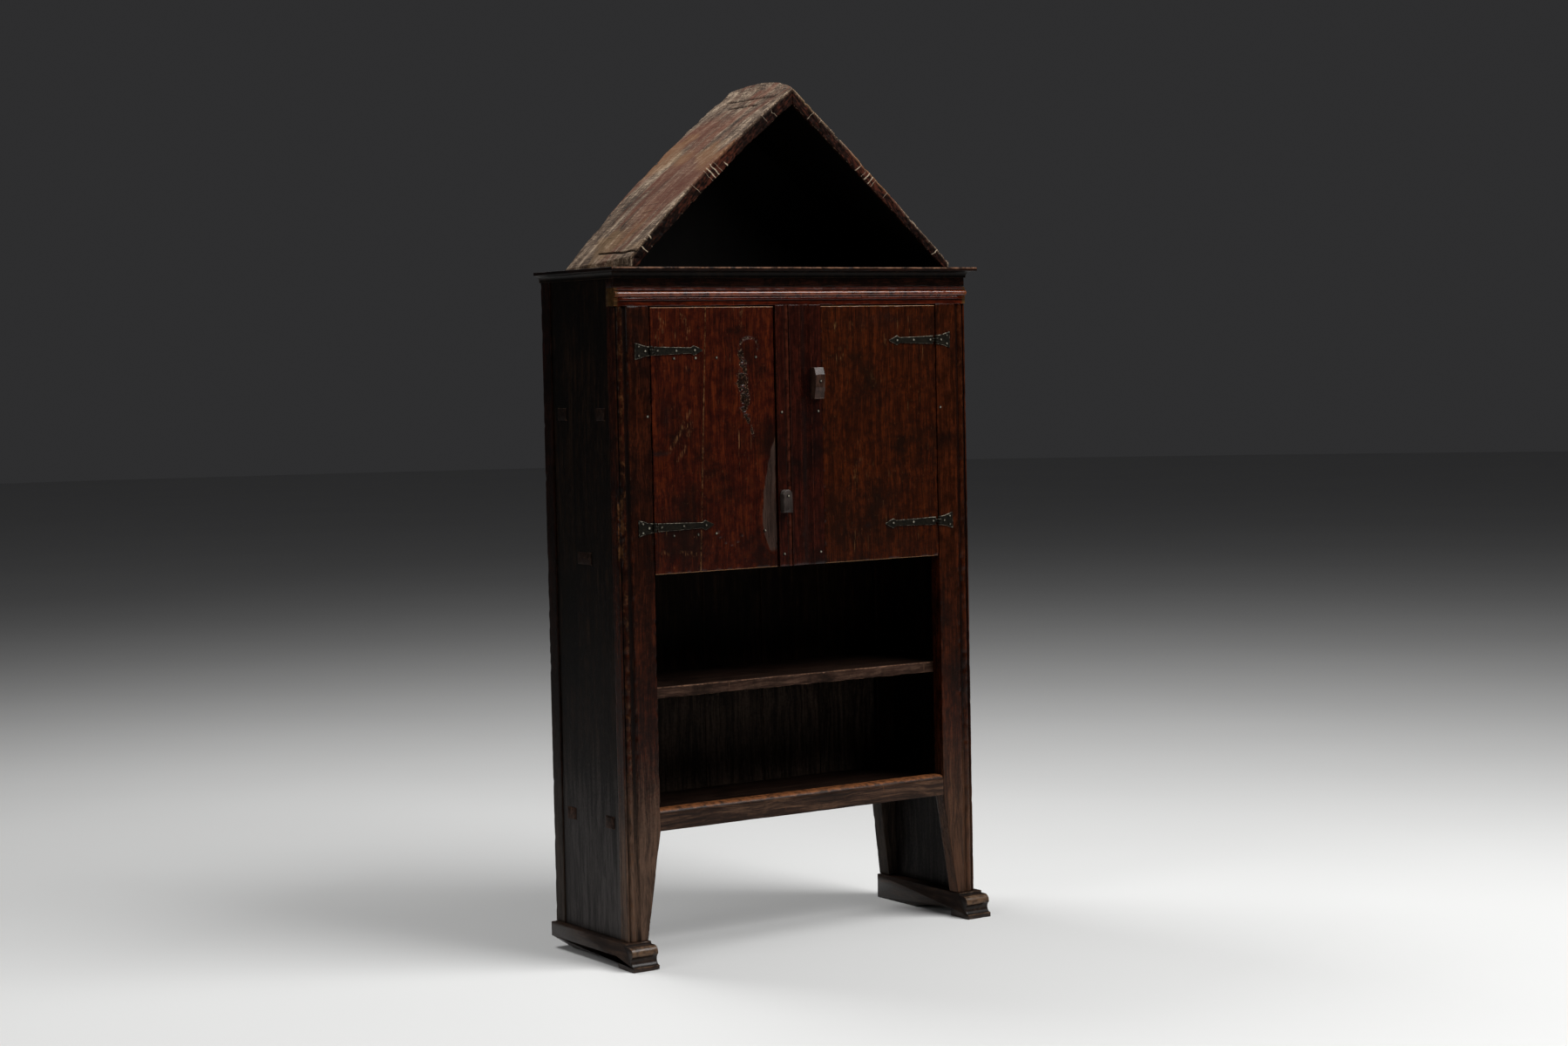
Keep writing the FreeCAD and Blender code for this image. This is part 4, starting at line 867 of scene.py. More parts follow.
shell = sweep(BOTTOM_PROFILE, stations(0, high[0] - low[0], 4 * mm), from_corner(BOTTOM_RAIL, "x"),
              worn(61, 0.7 * mm, 0.9 * mm, (90 * mm, 30 * mm, 30 * mm), 30 * mm), 1 * mm,
              {"wear": rubbed_and_lit_top, "grime": painted_shade_behind})
make_piece("worn_bottom_rail", [shell], sill_x, ["bottom_rail"])

# %% Cornice moulding
COVE_LOW, COVE_HIGH = span("cornice_moulding_front")
COS_45 = 0.707                      # for the middle of the hollow
COVE_WALL = COVE_HIGH[1]
LIP = 3 * mm
REACH = COVE_HIGH[1] - COVE_LOW[1]
TALL = COVE_HIGH[2] - COVE_LOW[2]
COVE_PROFILE = draw(
    (0, 0), (LIP, 0), (LIP, LIP),
    (REACH - COS_45 * (REACH - LIP), LIP + COS_45 * (TALL - LIP), REACH, TALL), (0, TALL), step=2 * mm,
    soft=0.4 * mm)
BACK = span("left_rear_stile")[1][1]


def on_front_cove(s, u, v):
    return at(s * (HALF + u), COVE_WALL - u, COVE_LOW[2] + v)


def on_side_cove(sign):
    def place(s, u, v):
        y = (1 - s) * (COVE_WALL - u) + s * BACK
        return at(sign * (HALF + u), y, COVE_LOW[2] + v)
    return place


flat_wear = worn(62, 0.15 * mm, 0.6 * mm)
shell = sweep(COVE_PROFILE, np.linspace(-1, 1, 200), on_front_cove, flat_wear, 0.01 * mm)
make_piece("hollow_cornice_front", [shell], side_z, ["cornice_moulding_front"])
for side, sign in SIDES:
    shell = sweep(COVE_PROFILE, np.linspace(0, 1, 70), on_side_cove(sign), flat_wear, 0.01 * mm)
    make_piece(f"hollow_cornice_{side}", [shell], side_z, ["cornice_moulding_" + side])


# %% [markdown]
# Shelves and their tenons
#
# Four shelves cross the case. Three of them pass through the sides with tenons whose ends show outside.
# The open shelf is housed in the sides, and its thick front edge is chipped.

# %% Shelves
REAR_STILE_FRONT = span("left_rear_stile")[0][1]
REAR_STILE_INNER = -span("left_rear_stile")[1][0]
STILE_INNER = -STILE_HIGH[0]


def shelf_shell(node, ends, depth, marks=None):
    """A shelf carried along X. Each stretch of its depth, from front to back, has its own half length."""
    low, high = span(node)

    def place(s, u, v):
        y = low[1] + u
        return at(s * np.interp(y, *ends), y, low[2] + v)
    profile = rectangle(high[1] - low[1], high[2] - low[2], 6 * mm, 1.5 * mm)
    return sweep(profile, np.linspace(-1, 1, 180), place, depth, 0.01 * mm, marks)


def reach_steps(*steps):
    """Half lengths in steps along the depth, as two lists for linear lookup: (y where it starts, half
    length)."""
    places, reaches = [], []
    for (y, reach), after in zip(steps, steps[1:] + ((1.0, 0),)):
        places += [y, after[0] - 0.05 * mm]
        reaches += [reach, reach]
    return places, reaches


def smoked(points, edge):
    """The tenons' end grain has drunk in smoke and wax, and is about as dark as the sides, which pale
    towards the floor."""
    return 0.45 + 0.45 * rise(points[..., 2], 0.3, 0.7)


def tenon_ends(node, places, width, seed):
    """The ends of the through tenons, each a short board through the side."""
    low, high = span(node)
    shells = []
    for sign in (-1, 1):
        for y in places:
            x = sorted((sign * high[0], sign * SIDE_INNER))
            corners = np.array([x[0], y - width / 2, low[2]]), np.array([x[1], y + width / 2, high[2]])
            shells.append(box_board(*corners, "x", worn(seed, 0.4 * mm), (4 * mm, 5 * mm), 1 * mm,
                                    {"grime": smoked}))
    return shells


TENON_IN = 40.5 * mm        # from a stile to the middle of the tenon beside it
PAIR = (STILE_BACK + TENON_IN, REAR_STILE_FRONT - TENON_IN)
MIDDLE = ((STILE_BACK + REAR_STILE_FRONT) / 2,)
NOTCHED = reach_steps((-1.0, STILE_INNER), (STILE_BACK, SIDE_INNER), (REAR_STILE_FRONT, REAR_STILE_INNER))
BEHIND = reach_steps((-1.0, SIDE_INNER), (REAR_STILE_FRONT, REAR_STILE_INNER))
HOUSED = reach_steps((-1.0, SIDE_INNER + 5 * mm), (REAR_STILE_FRONT, REAR_STILE_INNER))


def chipped_front(points, edge):
    """Rubbing and chips along a shelf's front edge."""
    front = rise(points[..., 1], STILE_BACK + 14 * mm, STILE_BACK)
    return np.maximum(edge * front, 0.6 * front)


shelf_wear = worn(70, 0.5 * mm, 1.5 * mm)
edge_wear = worn(74, 0.6 * mm, 2.5 * mm, dent=18 * mm)
for node, ends, places, width in (("inner_shelf", NOTCHED, PAIR, 38 * mm),
                                  ("cupboard_floor", NOTCHED, MIDDLE, 60 * mm),
                                  ("bottom_shelf", BEHIND, PAIR, 38 * mm)):
    shell = shelf_shell(node, ends, shelf_wear, {"grime": painted_shade_behind})
    make_piece("tenoned_" + node, [shell] + tenon_ends(node, places, width, 72), inside_x, [node])
shell = shelf_shell("open_shelf", HOUSED, edge_wear, {"wear": chipped_front, "grime": painted_shade_behind})
make_piece("chipped_open_shelf", [shell], inside_x, ["open_shelf"])


# %% [markdown]
# Sledge feet
#
# Each foot is a runner from front to back with a step, a rounded nose, a hollow and a lip in front, and a
# shallow arch under its middle. The left one is worn away at its outer heel, so there the points are
# lifted to two slanting planes.

# %% Feet
FOOT_LOW, FOOT_HIGH = span("right_foot")
TOE = FOOT_LOW[1] - FRONT
FOOT_TOP = FOOT_HIGH[2]
FOOT_BACK = FOOT_HIGH[1] - FRONT
BROW = FOOT_TOP - 5 * mm
FOOT_PROFILE = draw(
    (TOE, 0), (TOE, 11 * mm), (TOE + 4 * mm, 11 * mm), (TOE + 11.5 * mm, 22 * mm, TOE + 5 * mm, 34 * mm),
    (TOE + 7.8 * mm, 47.2 * mm, TOE + 20 * mm, BROW), (-8 * mm, BROW), (-8 * mm, FOOT_TOP),
    (FOOT_BACK, FOOT_TOP), (FOOT_BACK, 0), (TOE + 212 * mm, 0),
    (TOE + 141.6 * mm, 13.5 * mm, TOE + 70 * mm, 17 * mm), (TOE + 70 * mm, 0), step=4 * mm, soft=1.2 * mm)
WEAR_WIDE, WEAR_TALL, WEAR_LONG = 30 * mm, 26 * mm, 46 * mm


def foot(side, sign, seed):
    """A foot carried inwards from its outer side."""
    low, high = span(side + "_foot")
    outer = low[0] if sign < 0 else high[0]

    def place(s, u, v):
        x, y, z = np.broadcast_arrays(outer - sign * s, FRONT + u, v)
        if side == "left":
            behind = rise(y, FRONT + TOE + 66 * mm, FRONT + TOE + 74 * mm)
            lift = np.maximum(0, 1 - (x - outer) / WEAR_WIDE) * WEAR_TALL * behind
            heel = np.maximum(0, 1 - (high[1] - y) / WEAR_LONG) * WEAR_TALL
            z = np.maximum(z, np.maximum(lift, heel))
        return at(x, y, z)
    path = stations(0, high[0] - low[0], 4 * mm)
    shell = sweep(FOOT_PROFILE, path, place, worn(seed, 0.7 * mm, 2 * mm, 30 * mm), 1.5 * mm)
    make_piece(f"sledge_foot_{side}", [shell], foot_wood, [side + "_foot"], crease=50)


foot("left", -1, 80)
foot("right", 1, 81)


# %% [markdown]
# Hewn roof
#
# Two thick boards lean together over an empty gable. Each sweeps a little out of the straight, its front
# edge is chipped end grain with checks across it, and long cracks run with the grain near the eave and
# the ridge. The path runs down the slope and the profile is depth by thickness, so that both ends of the
# grain and the outer face get enough points for real relief. The left board's top edge climbs past the
# ridge in a shallow crown.

# %% Roof
ROOF_LOW, ROOF_HIGH = span("right_roof_board")
EAVE = ROOF_HIGH[0]
RIDGE = ROOF_HIGH[2]
TOE_Z = ROOF_LOW[2]
BROW_Z = TOE_Z + 24 * mm
ROOF_DEEP = ROOF_HIGH[1] - ROOF_LOW[1]
ROOF_THICK = 29 * mm
CROWN = (span("left_roof_board")[1][2] - RIDGE, 13 * mm)
SLOPE = np.array([EAVE, BROW_Z - RIDGE])
SLOPE_LONG = float(np.linalg.norm(SLOPE))
OUT = np.array([-SLOPE[1], SLOPE[0]]) / SLOPE_LONG
INNER_TOP = np.array([0, RIDGE - ROOF_THICK / OUT[1]])
INNER_TOE = np.array([SLOPE[0] * (INNER_TOP[1] - TOE_Z) / -SLOPE[1], TOE_Z])


def roof_place(sign, bows, crown, feather):
    """A station s runs down the slope from the ridge, u is the depth from the front, v the height over the
    inner face. The outer line drops from the ridge to the brow and then straight down to the toe, the inner
    line runs from under the ridge to the inner toe, and each bulges by its bow times 4t(1 - t). Feather is
    how much of the brow's upright cut is worn away, in front and at the back. The crown carries the ridge
    end on in a parabola through its rises in front, at mid depth and at the back."""
    brow_share = SLOPE_LONG / (SLOPE_LONG + BROW_Z - TOE_Z)
    outer_bow, inner_bow = bows
    middle, back = crown

    def place(s, u, v):
        s, u, v = np.broadcast_arrays(s, u, v)
        deep = u / ROOF_DEEP
        climb = (4 * middle - back) * deep + (2 * back - 4 * middle) * deep * deep
        t = s - (1 - s) * climb / (RIDGE - BROW_Z)
        cut = (BROW_Z - TOE_Z) * (1 - feather[0] - (feather[1] - feather[0]) * deep)
        down = np.minimum(t / brow_share, 1)
        swing = 4 * outer_bow * np.clip(down, 0, 1) * (1 - np.clip(down, 0, 1))
        bulge = 4 * inner_bow * np.clip(t, 0, 1) * (1 - np.clip(t, 0, 1))
        drop = np.maximum(t - brow_share, 0) / (1 - brow_share) * cut
        ox = SLOPE[0] * down + OUT[0] * swing
        oz = RIDGE + (TOE_Z + cut - RIDGE) * down + OUT[1] * swing - drop
        ix = INNER_TOE[0] * t + OUT[0] * bulge
        iz = INNER_TOP[1] + (INNER_TOE[1] - INNER_TOP[1]) * t + OUT[1] * bulge
        share = v / ROOF_THICK
        return np.stack([sign * (ix + (ox - ix) * share), ROOF_LOW[1] + u, iz + (oz - iz) * share], -1)
    return place


ROOF_PROFILE = rectangle(ROOF_DEEP, ROOF_THICK, 4.5 * mm, 1.5 * mm)
CRACK_DEEP = 6 * mm


def outer_face(points, edge):
    """Grey weather on the outer face."""
    v = np.broadcast_to(ROOF_PROFILE[0][None, :, 1], points.shape[:2])
    return rise(v, ROOF_THICK - 6 * mm, ROOF_THICK - 1 * mm)


def inner_face_painted_shade(points):
    """Painted shade on the inner face, under the gable."""
    u, v = (np.broadcast_to(ROOF_PROFILE[0][None, :, k], points.shape[:2]) for k in (0, 1))
    return rise(v, 4 * mm, 1 * mm) * rise(u, 2 * mm, 12 * mm)


def cracked(points, edge, cracks, seed, half):
    """How far a point of the outer face lies in a crack. A crack runs with the depth from first to last,
    fades out at both ends, and wanders about its height with this half width."""
    wander = 5 * mm * (hills(points * (0, 1, 0), 40 * mm, seed + 4) - 0.5)
    total = np.zeros(points.shape[:2])
    for height, first, last in cracks:
        near = np.exp(-((points[..., 2] - height - wander) / half) ** 2)
        part = rise(points[..., 1], first - 8 * mm, first) * rise(points[..., 1], last + 8 * mm, last)
        total += near * part
    return total * outer_face(points, edge)


def roof_relief(seed, cracks):
    """Wear of a hewn board: broad swells, slanting strokes, deep chips on the arrises, checks across the
    front end grain, and cracks."""
    def depth(points, edge):
        swell = 1.6 * mm * hills(points, (70 * mm, 120 * mm, 70 * mm), seed)
        slant = points + 0.5 * points[..., [1, 0, 1]]
        stroke = 0.7 * mm * hills(slant, (14 * mm, 60 * mm, 14 * mm), seed + 1)
        bite = 7 * mm * edge * np.clip(hills(points, 38 * mm, seed + 2) - 0.56, 0, 1) * 2
        bite += 2 * mm * edge * np.clip(hills(points, 9 * mm, seed + 5) - 0.5, 0, 1) * 2
        end = rise(points[..., 1], ROOF_LOW[1] + 6 * mm, ROOF_LOW[1])
        check = 2.5 * mm * end * rise(hills(points * (1, 0.2, 1), 9 * mm, seed + 3), 0.72, 0.86)
        split = CRACK_DEEP * cracked(points, edge, cracks, seed, 1.6 * mm)
        return swell + stroke + bite + check + split
    return depth


def crack_marks(cracks, seed):
    """The same cracks, a little wider, and the painted shade on the inner face under the gable, as one dark
    mark.
    """
    def rule(points, edge):
        return np.clip(cracked(points, edge, cracks, seed, 1.8 * mm) + inner_face_painted_shade(points), 0, 1)
    return rule


CHECKS = np.array([0.15, 0.18, 0.44, 0.47, 0.50, 0.535, 0.56, 0.585, 0.83, 0.91])


def front_checks(points, edge):
    """Where the front end grain is checked: at given shares of the way from the ridge to the eave."""
    way = (RIDGE - points[..., 2]) / (RIDGE - TOE_Z) + 0.02 * (hills(points, 12 * mm, 99) - 0.5)
    near = np.abs(way[..., None] - CHECKS).min(-1) * SLOPE_LONG
    front = rise(points[..., 1], ROOF_LOW[1] + 3 * mm, ROOF_LOW[1] + 1 * mm)
    return rise(near, 12 * mm, 5 * mm) * front


def roof_board(side, sign, bows, crown, feather, seed, cracks):
    place = roof_place(sign, bows, crown, feather)
    marks = {"dust": outer_face, "scar": crack_marks(cracks, seed), "check": front_checks}
    shell = sweep(ROOF_PROFILE, np.linspace(0, 1, 260), place, roof_relief(seed, cracks), 4 * mm, marks)
    make_piece(f"hewn_{side}_roof_board", [shell], roof_wood, [side + "_roof_board"],
               crease=50)
    return shell[0]


ROOF_SHELLS = [
    roof_board("left", -1, (15 * mm, 10 * mm), CROWN, (0.0, 0.8), 90,
               [(1.563, -0.14, 0.03), (1.916, -0.10, 0.10), (1.898, -0.06, 0.06)]),
    roof_board("right", 1, (3 * mm, 3 * mm), (0.0, 0.0), (0.5, 0.5), 95,
               [(1.60, -0.02, 0.15), (1.82, -0.14, 0.05)])]


# %% [markdown]
# Doors
#
# The left door is two boards with a joint that leans, the right door one wide board. Their fronts carry
# the history: a worm-eaten gouge, a grey patch where the turn button rubbed, an arc of pits. These are
# depths on a fine grid, and the same rules are kept as marks for the colour. Stains and scuffs are marks
# alone.

# %% Door boards
DOOR_LOW, DOOR_HIGH = span("left_door_outer_board")
JOINT_LOW = span("left_door_inner_board")[0][0]
JOINT_HIGH = DOOR_HIGH[0]
DOOR_FREE = span("left_door_inner_board")[1][0]
DOOR_DEEP = DOOR_HIGH[1] - DOOR_LOW[1]
DOOR_TALL = DOOR_HIGH[2] - DOOR_LOW[2]


def joint_at(z):
    """Where the leaning joint of the left door lies at a height."""
    return JOINT_LOW + (JOINT_HIGH - JOINT_LOW) * (z - DOOR_LOW[2]) / DOOR_TALL


def door_board(left, right, depth, marks, step=2.5 * mm):
    """An upright board between two edges that may lean: x runs from left(z) to right(z)."""
    wide = float(right(DOOR_LOW[2] + DOOR_TALL / 2) - left(DOOR_LOW[2] + DOOR_TALL / 2))

    def place(s, u, v):
        z = DOOR_LOW[2] + s
        x = left(z) + (right(z) - left(z)) * u / wide
        return at(x, DOOR_LOW[1] + v, z)
    profile = rectangle(wide, DOOR_DEEP, step, 1.2 * mm)
    return sweep(profile, stations(0, DOOR_TALL, step), place, depth, 1.2 * mm, marks)


GOUGE = np.array([(-154, 1345), (-146, 1313), (-152, 1270), (-143, 1251), (-146, 1212), (-136, 1192),
                  (-122, 1150)]) * mm
GOUGE_WIDE = np.array([12, 18, 25, 23, 17, 12, 5]) * mm
GOUGE_FOOT, GOUGE_HEAD = (1.142, 1.155), (1.362, 1.335)     # heights over which it begins and ends
CURL, CURL_ROUND = (-0.131, 1.352), 24 * mm                 # middle and radius of the curl at its head
CURL_FOOT = (1.335, 1.350)
PATCH_FOOT, PATCH_HEAD = (0.885, 0.905), (1.16, 1.13)       # heights over which the patch begins and ends
PATCH = np.array([(-66, 1152), (-79, 1113), (-97, 1036), (-103, 978), (-102, 938), (-84, 894)]) * mm
PITS = np.array([(-220, 942), (-216, 929), (-202, 916), (-186, 910), (-170, 917), (-158, 930)]) * mm


def front_only(points):
    """1 on the front face of a door, 0 on its edges and back."""
    return rise(points[..., 1], FRONT + 1.5 * mm, FRONT + 0.2 * mm)


def gouge(points):
    """A ragged groove: how deep inside a wandering band a point lies, broken up by a fine relief."""
    z = points[..., 2]
    middle = np.interp(z, GOUGE[::-1, 1], GOUGE[::-1, 0])
    half = np.interp(z, GOUGE[::-1, 1], GOUGE_WIDE[::-1]) * (0.55 + 0.6 * hills(points, 9 * mm, 101))
    tall = rise(z, *GOUGE_FOOT) * rise(z, *GOUGE_HEAD)
    inside = rise(np.abs(points[..., 0] - middle), half, 0.35 * half) * tall
    curl = np.hypot(points[..., 0] - CURL[0], (z - CURL[1]) * 1.2)
    ring = rise(np.abs(curl - CURL_ROUND), 5 * mm, 1 * mm) * rise(z, *CURL_FOOT)
    ragged = rise(hills(points, 5 * mm, 102), 0.25, 0.55)
    return np.maximum(inside, 0.7 * ring) * ragged * front_only(points)


def patch(points):
    """The rubbed hollow beside the lower button: from a wandering line to the free edge."""
    z = points[..., 2]
    line = np.interp(z, PATCH[::-1, 1], PATCH[::-1, 0]) + 4 * mm * (hills(points, 16 * mm, 103) - 0.5)
    tall = rise(z, *PATCH_FOOT) * rise(z, *PATCH_HEAD)
    return rise(points[..., 0], line - 1.5 * mm, line + 2 * mm) * tall * front_only(points)


def pits(points):
    """A few round pits on a curve."""
    away = np.hypot(points[..., None, 0] - PITS[:, 0], points[..., None, 2] - PITS[:, 1]).min(-1)
    return rise(away, 4 * mm, 1.5 * mm) * front_only(points)


STAINS = np.array([(-372, 1122, 36, 8, 0.8), (-350, 1205, 30, 60, 0.45), (-330, 1010, 26, 34, 0.35),
                   (-292, 1301, 12, 10, 0.6), (-200, 1290, 20, 30, 0.35), (-255, 1130, 26, 16, 0.3),
                   (-170, 1075, 16, 26, 0.35), (-140, 905, 40, 12, 0.3), (225, 1410, 160, 30, 0.5),
                   (300, 1330, 70, 60, 0.35), (161, 1085, 18, 14, 0.55), (136, 1026, 14, 10, 0.5),
                   (182, 939, 16, 10, 0.6), (250, 985, 60, 20, 0.25)]) * (mm, mm, mm, mm, 1)
SCRATCHES = np.array([(-360, 1438, -354, 1389), (-306, 1430, -287, 1388), (-300, 1418, -291, 1402),
                      (-370, 1378, -358, 1358), (-291, 1400, -292, 1372), (-291, 1211, -318, 1160),
                      (-318, 1160, -344, 1126), (154, 1080, 148, 1050), (-292, 1312, -290, 1306),
                      (-148, 1440, -153, 1396), (-283, 1190, -286, 1172), (-292, 1168, -296, 1148),
                      (-303, 1140, -309, 1118), (-296, 1186, -300, 1176), (-312, 1122, -322, 1104),
                      (-238, 1068, -254, 1063), (-367, 904, -352, 902), (-318, 905, -280, 897),
                      (102, 1400, 104, 1382), (146, 1402, 150, 1372), (182, 1396, 183, 1384),
                      (240, 1372, 244, 1352), (118, 1345, 121, 1325), (205, 1290, 209, 1262),
                      (160, 1075, 170, 1092), (140, 1020, 133, 1034)]) * mm


def stains(points, edge):
    """Dark smudges: bells of a given place, half width, half height and strength on the front."""
    total = np.zeros(points.shape[:2])
    for x, z, wide, tall, strength in STAINS:
        total += strength * np.exp(-((points[..., 0] - x) / wide) ** 2 - ((points[..., 2] - z) / tall) ** 2)
    broken = 0.6 + 0.8 * hills(points, 15 * mm, 140)
    return np.clip(total * broken, 0, 1) * front_only(points)


def scuffs(points, edge):
    """Scuffed places: how near a point of the front lies to one of a few strokes."""
    best = np.full(points.shape[:2], 1.0)
    flat = points[..., [0, 2]] + 5 * mm * (hills(points, 11 * mm, 141)[..., None] - 0.5)
    for x0, z0, x1, z1 in SCRATCHES:
        start, run = np.array((x0, z0)), np.array((x1 - x0, z1 - z0))
        t = np.clip((flat - start) @ run / (run @ run), 0, 1)
        best = np.minimum(best, np.linalg.norm(flat - start - t[..., None] * run, axis=-1))
    return rise(best, 6.5 * mm, 1.5 * mm) * rise(hills(points, 7 * mm, 142), 0.20, 0.50) * front_only(points)


def joint_line(points):
    """Wax and dust show as a pale line in the leaning joint."""
    return rise(np.abs(points[..., 0] - joint_at(points[..., 2])), 2.6 * mm, 0.8 * mm) * front_only(points)


plain_wear = worn(100, 0.5 * mm, 1.6 * mm)


def inner_depth(points, edge):
    """Plain wear, and what is cut into the inner board."""
    cut = 1.5 * mm * gouge(points) + 1.2 * mm * patch(points) + 0.6 * mm * pits(points)
    return plain_wear(points, edge) + cut


def inner_scar(points, edge):
    """Torn wood in the gouge and the pits."""
    return np.maximum(0.9 * gouge(points), 0.45 * pits(points))


def inner_dust(points, edge):
    """Dull wood in the patch."""
    return 0.85 * patch(points)


def rub_and_edge_highlight(points, edge):
    """All arrises are rubbed a little. The upper and lower arrises of the front are painted light: bare wood,
    and a painted highlight along them.
    """
    z = points[..., 2]
    ends = np.maximum(rise(z, DOOR_HIGH[2] - 3 * mm, DOOR_HIGH[2] - 1 * mm),
                      rise(z, DOOR_LOW[2] + 3 * mm, DOOR_LOW[2] + 1 * mm))
    return np.maximum(0.75 * edge, 1.3 * ends * front_only(points))


def left_rub(points, edge):
    """The same, and the pale line of the joint."""
    return np.maximum(rub_and_edge_highlight(points, edge), 0.98 * joint_line(points))


# %% Door planks and battens
RIGHT_LOW, RIGHT_HIGH = span("right_door_board")
RIGHT_MARKS = {"wear": rub_and_edge_highlight, "grime": stains, "scuff": scuffs}
LEFT_MARKS = {**RIGHT_MARKS, "wear": left_rub}
INNER_MARKS = {**LEFT_MARKS, "scar": inner_scar, "dust": inner_dust}
shell = door_board(joint_at, lambda z: DOOR_FREE, inner_depth, INNER_MARKS, 2 * mm)
make_piece("left_door_inner_plank", [shell], left_door_wood, ["left_door_inner_board"],
           "left_door")
shell = door_board(lambda z: DOOR_LOW[0], joint_at, worn(104, 0.5 * mm, 1.6 * mm), LEFT_MARKS, 2 * mm)
make_piece("left_door_outer_plank", [shell], left_door_wood, ["left_door_outer_board"],
           "left_door")
shell = door_board(lambda z: RIGHT_LOW[0], lambda z: RIGHT_HIGH[0], worn(106, 0.6 * mm, 1.8 * mm),
                   RIGHT_MARKS, 2.3 * mm)
make_piece("right_door_plank", [shell], right_door_wood, ["right_door_board"],
           "right_door")
for i, level in enumerate(("upper", "lower")):
    name = f"left_door_{level}_batten"
    shell = box_board(*span(name), "x", worn(110 + i, 0.5 * mm, 2 * mm), (6 * mm, 5 * mm), 3 * mm)
    make_piece(f"chamfered_{level}_batten", [shell], inside_x, [name], "left_door")


# %% [markdown]
# Forged hinges
#
# A smith drew these hinges out of a bar: a leaf that spreads like a tail on the stile, a rolled eye, and
# a strap that thins to a waist and ends in a barbed point. A plate is a flat rounded section carried
# along X with a width that follows the drawing, and hammer marks are its wear. The eyes are rounds with
# the lap of the roll.

# %% Hinges
PLATE = 2.5 * mm
NECK = 10 * mm              # half the height at the eye
EYE = 4.4 * mm
hammer = worn(120, 0.45 * mm, 0.8 * mm, 7 * mm, 5 * mm)
UNIT_PLATE = draw((-NECK, 0), (NECK, 0), (NECK, PLATE), (-NECK, PLATE), step=2.5 * mm, soft=0.6 * mm)
TURN = np.linspace(0, 2 * math.pi, 24, endpoint=False)
LAP = 1 - 0.12 * np.exp(-((TURN - math.pi) / 0.22) ** 2)
EYE_OUT = np.stack([np.cos(TURN), np.sin(TURN)], -1)
EYE_LOOP = EYE * LAP[:, None] * EYE_OUT
EYE_PROFILE = (EYE_LOOP, EYE_OUT, EYE_OUT, 0 * TURN, 0 * TURN)


def plate(pivot, sign, height, lengths, halves):
    """A forged plate: at each length from the pivot its section is scaled to the half width that is
    drawn."""
    def place(s, u, v):
        scale = np.interp(s, lengths, halves) / NECK
        return at(pivot[0] + sign * s, FRONT - v, height + u * scale)
    path = np.unique(np.concatenate([np.array(lengths), stations(lengths[0], lengths[-1], 2 * mm)]))
    return sweep(UNIT_PLATE, path, place, hammer, 0.5 * mm)


def eye(pivot, low, high):
    """A rolled eye round the pin between two heights."""
    place = from_corner((pivot[0], pivot[1], low), "z")
    return sweep(EYE_PROFILE, stations(0, high - low, 1.5 * mm), place, hammer, 0.5 * mm)


def hinge(side, level, sign):
    """Leaf, strap and pin of one hinge. The leaf lies outwards from the pivot, the strap inwards."""
    tag = f"{side}_{level}"
    pin_low, pin_high = span("hinge_pin_" + tag)
    leaf_low, leaf_high = span("hinge_leaf_" + tag)
    strap_low, strap_high = span("hinge_strap_" + tag)
    height = (leaf_low[2] + leaf_high[2]) / 2
    pivot = (pin_low + pin_high) / 2
    tail = abs((leaf_low if sign < 0 else leaf_high)[0] - pivot[0])
    point = abs((strap_high if sign < 0 else strap_low)[0] - pivot[0])
    leaf = plate(pivot, sign, height, [2.5 * mm, 0.45 * tail, tail], [NECK, 12.5 * mm, 19.3 * mm])
    gap = 4 * mm
    eyes = [eye(pivot, height + gap, height + NECK), eye(pivot, height - NECK, height - gap)]
    make_piece("forged_leaf_" + tag, [leaf] + eyes, iron, ["hinge_leaf_" + tag])
    barb = point - 21 * mm
    lengths = [9 * mm, barb - 9 * mm, barb - 1 * mm, barb + 3 * mm, point]
    strap = plate(pivot, -sign, height, lengths, [9.6 * mm, 6.5 * mm, 11.4 * mm, 9.5 * mm, 0.8 * mm])
    root = plate(pivot, -sign, height, [2.5 * mm, 10 * mm], [3.5 * mm, 3.5 * mm])
    middle = eye(pivot, height - 3.6 * mm, height + 3.6 * mm)
    make_piece("forged_strap_" + tag, [strap, root, middle], iron, ["hinge_strap_" + tag],
               side + "_door")


for side, sign in SIDES:
    for level in ("upper", "lower"):
        hinge(side, level, sign)
        refinish(f"hinge_pin_{side}_{level}", iron)


# %% [markdown]
# Nails
#
# Every nail was made by hand, so its head is a low rounded pyramid struck by a few blows, not a perfect
# dome. The places come from the part: the tips of the shanks lie together in small groups.
# The nails in the back keep the shape they have there.

# %% Nail heads
HEAD = 4.2 * mm
LIFT = 2.0 * mm


def mesh_points(node):
    """A node's points as one array."""
    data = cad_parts[node].data
    points = np.empty(len(data.vertices) * 3)
    data.vertices.foreach_get("co", points)
    return points.reshape(-1, 3)


def groups(points, reach):
    """Middles of clusters of points: each cluster is what lies within reach of its first point."""
    middles = []
    while len(points):
        near = np.linalg.norm(points - points[0], axis=1) < reach
        middles.append((points[near].min(0) + points[near].max(0)) / 2)
        points = points[~near]
    return np.array(middles)


def nail_places(node):
    """Middle of each nail of a node that is driven along +Y: its shank's far end, as x and z, and the
    head's seat."""
    points = mesh_points(node)
    tips = points[points[:, 1] > points[:, 1].max() - 0.1 * mm][:, [0, 2]]
    return groups(tips, 6 * mm), points[:, 1].min() + LIFT


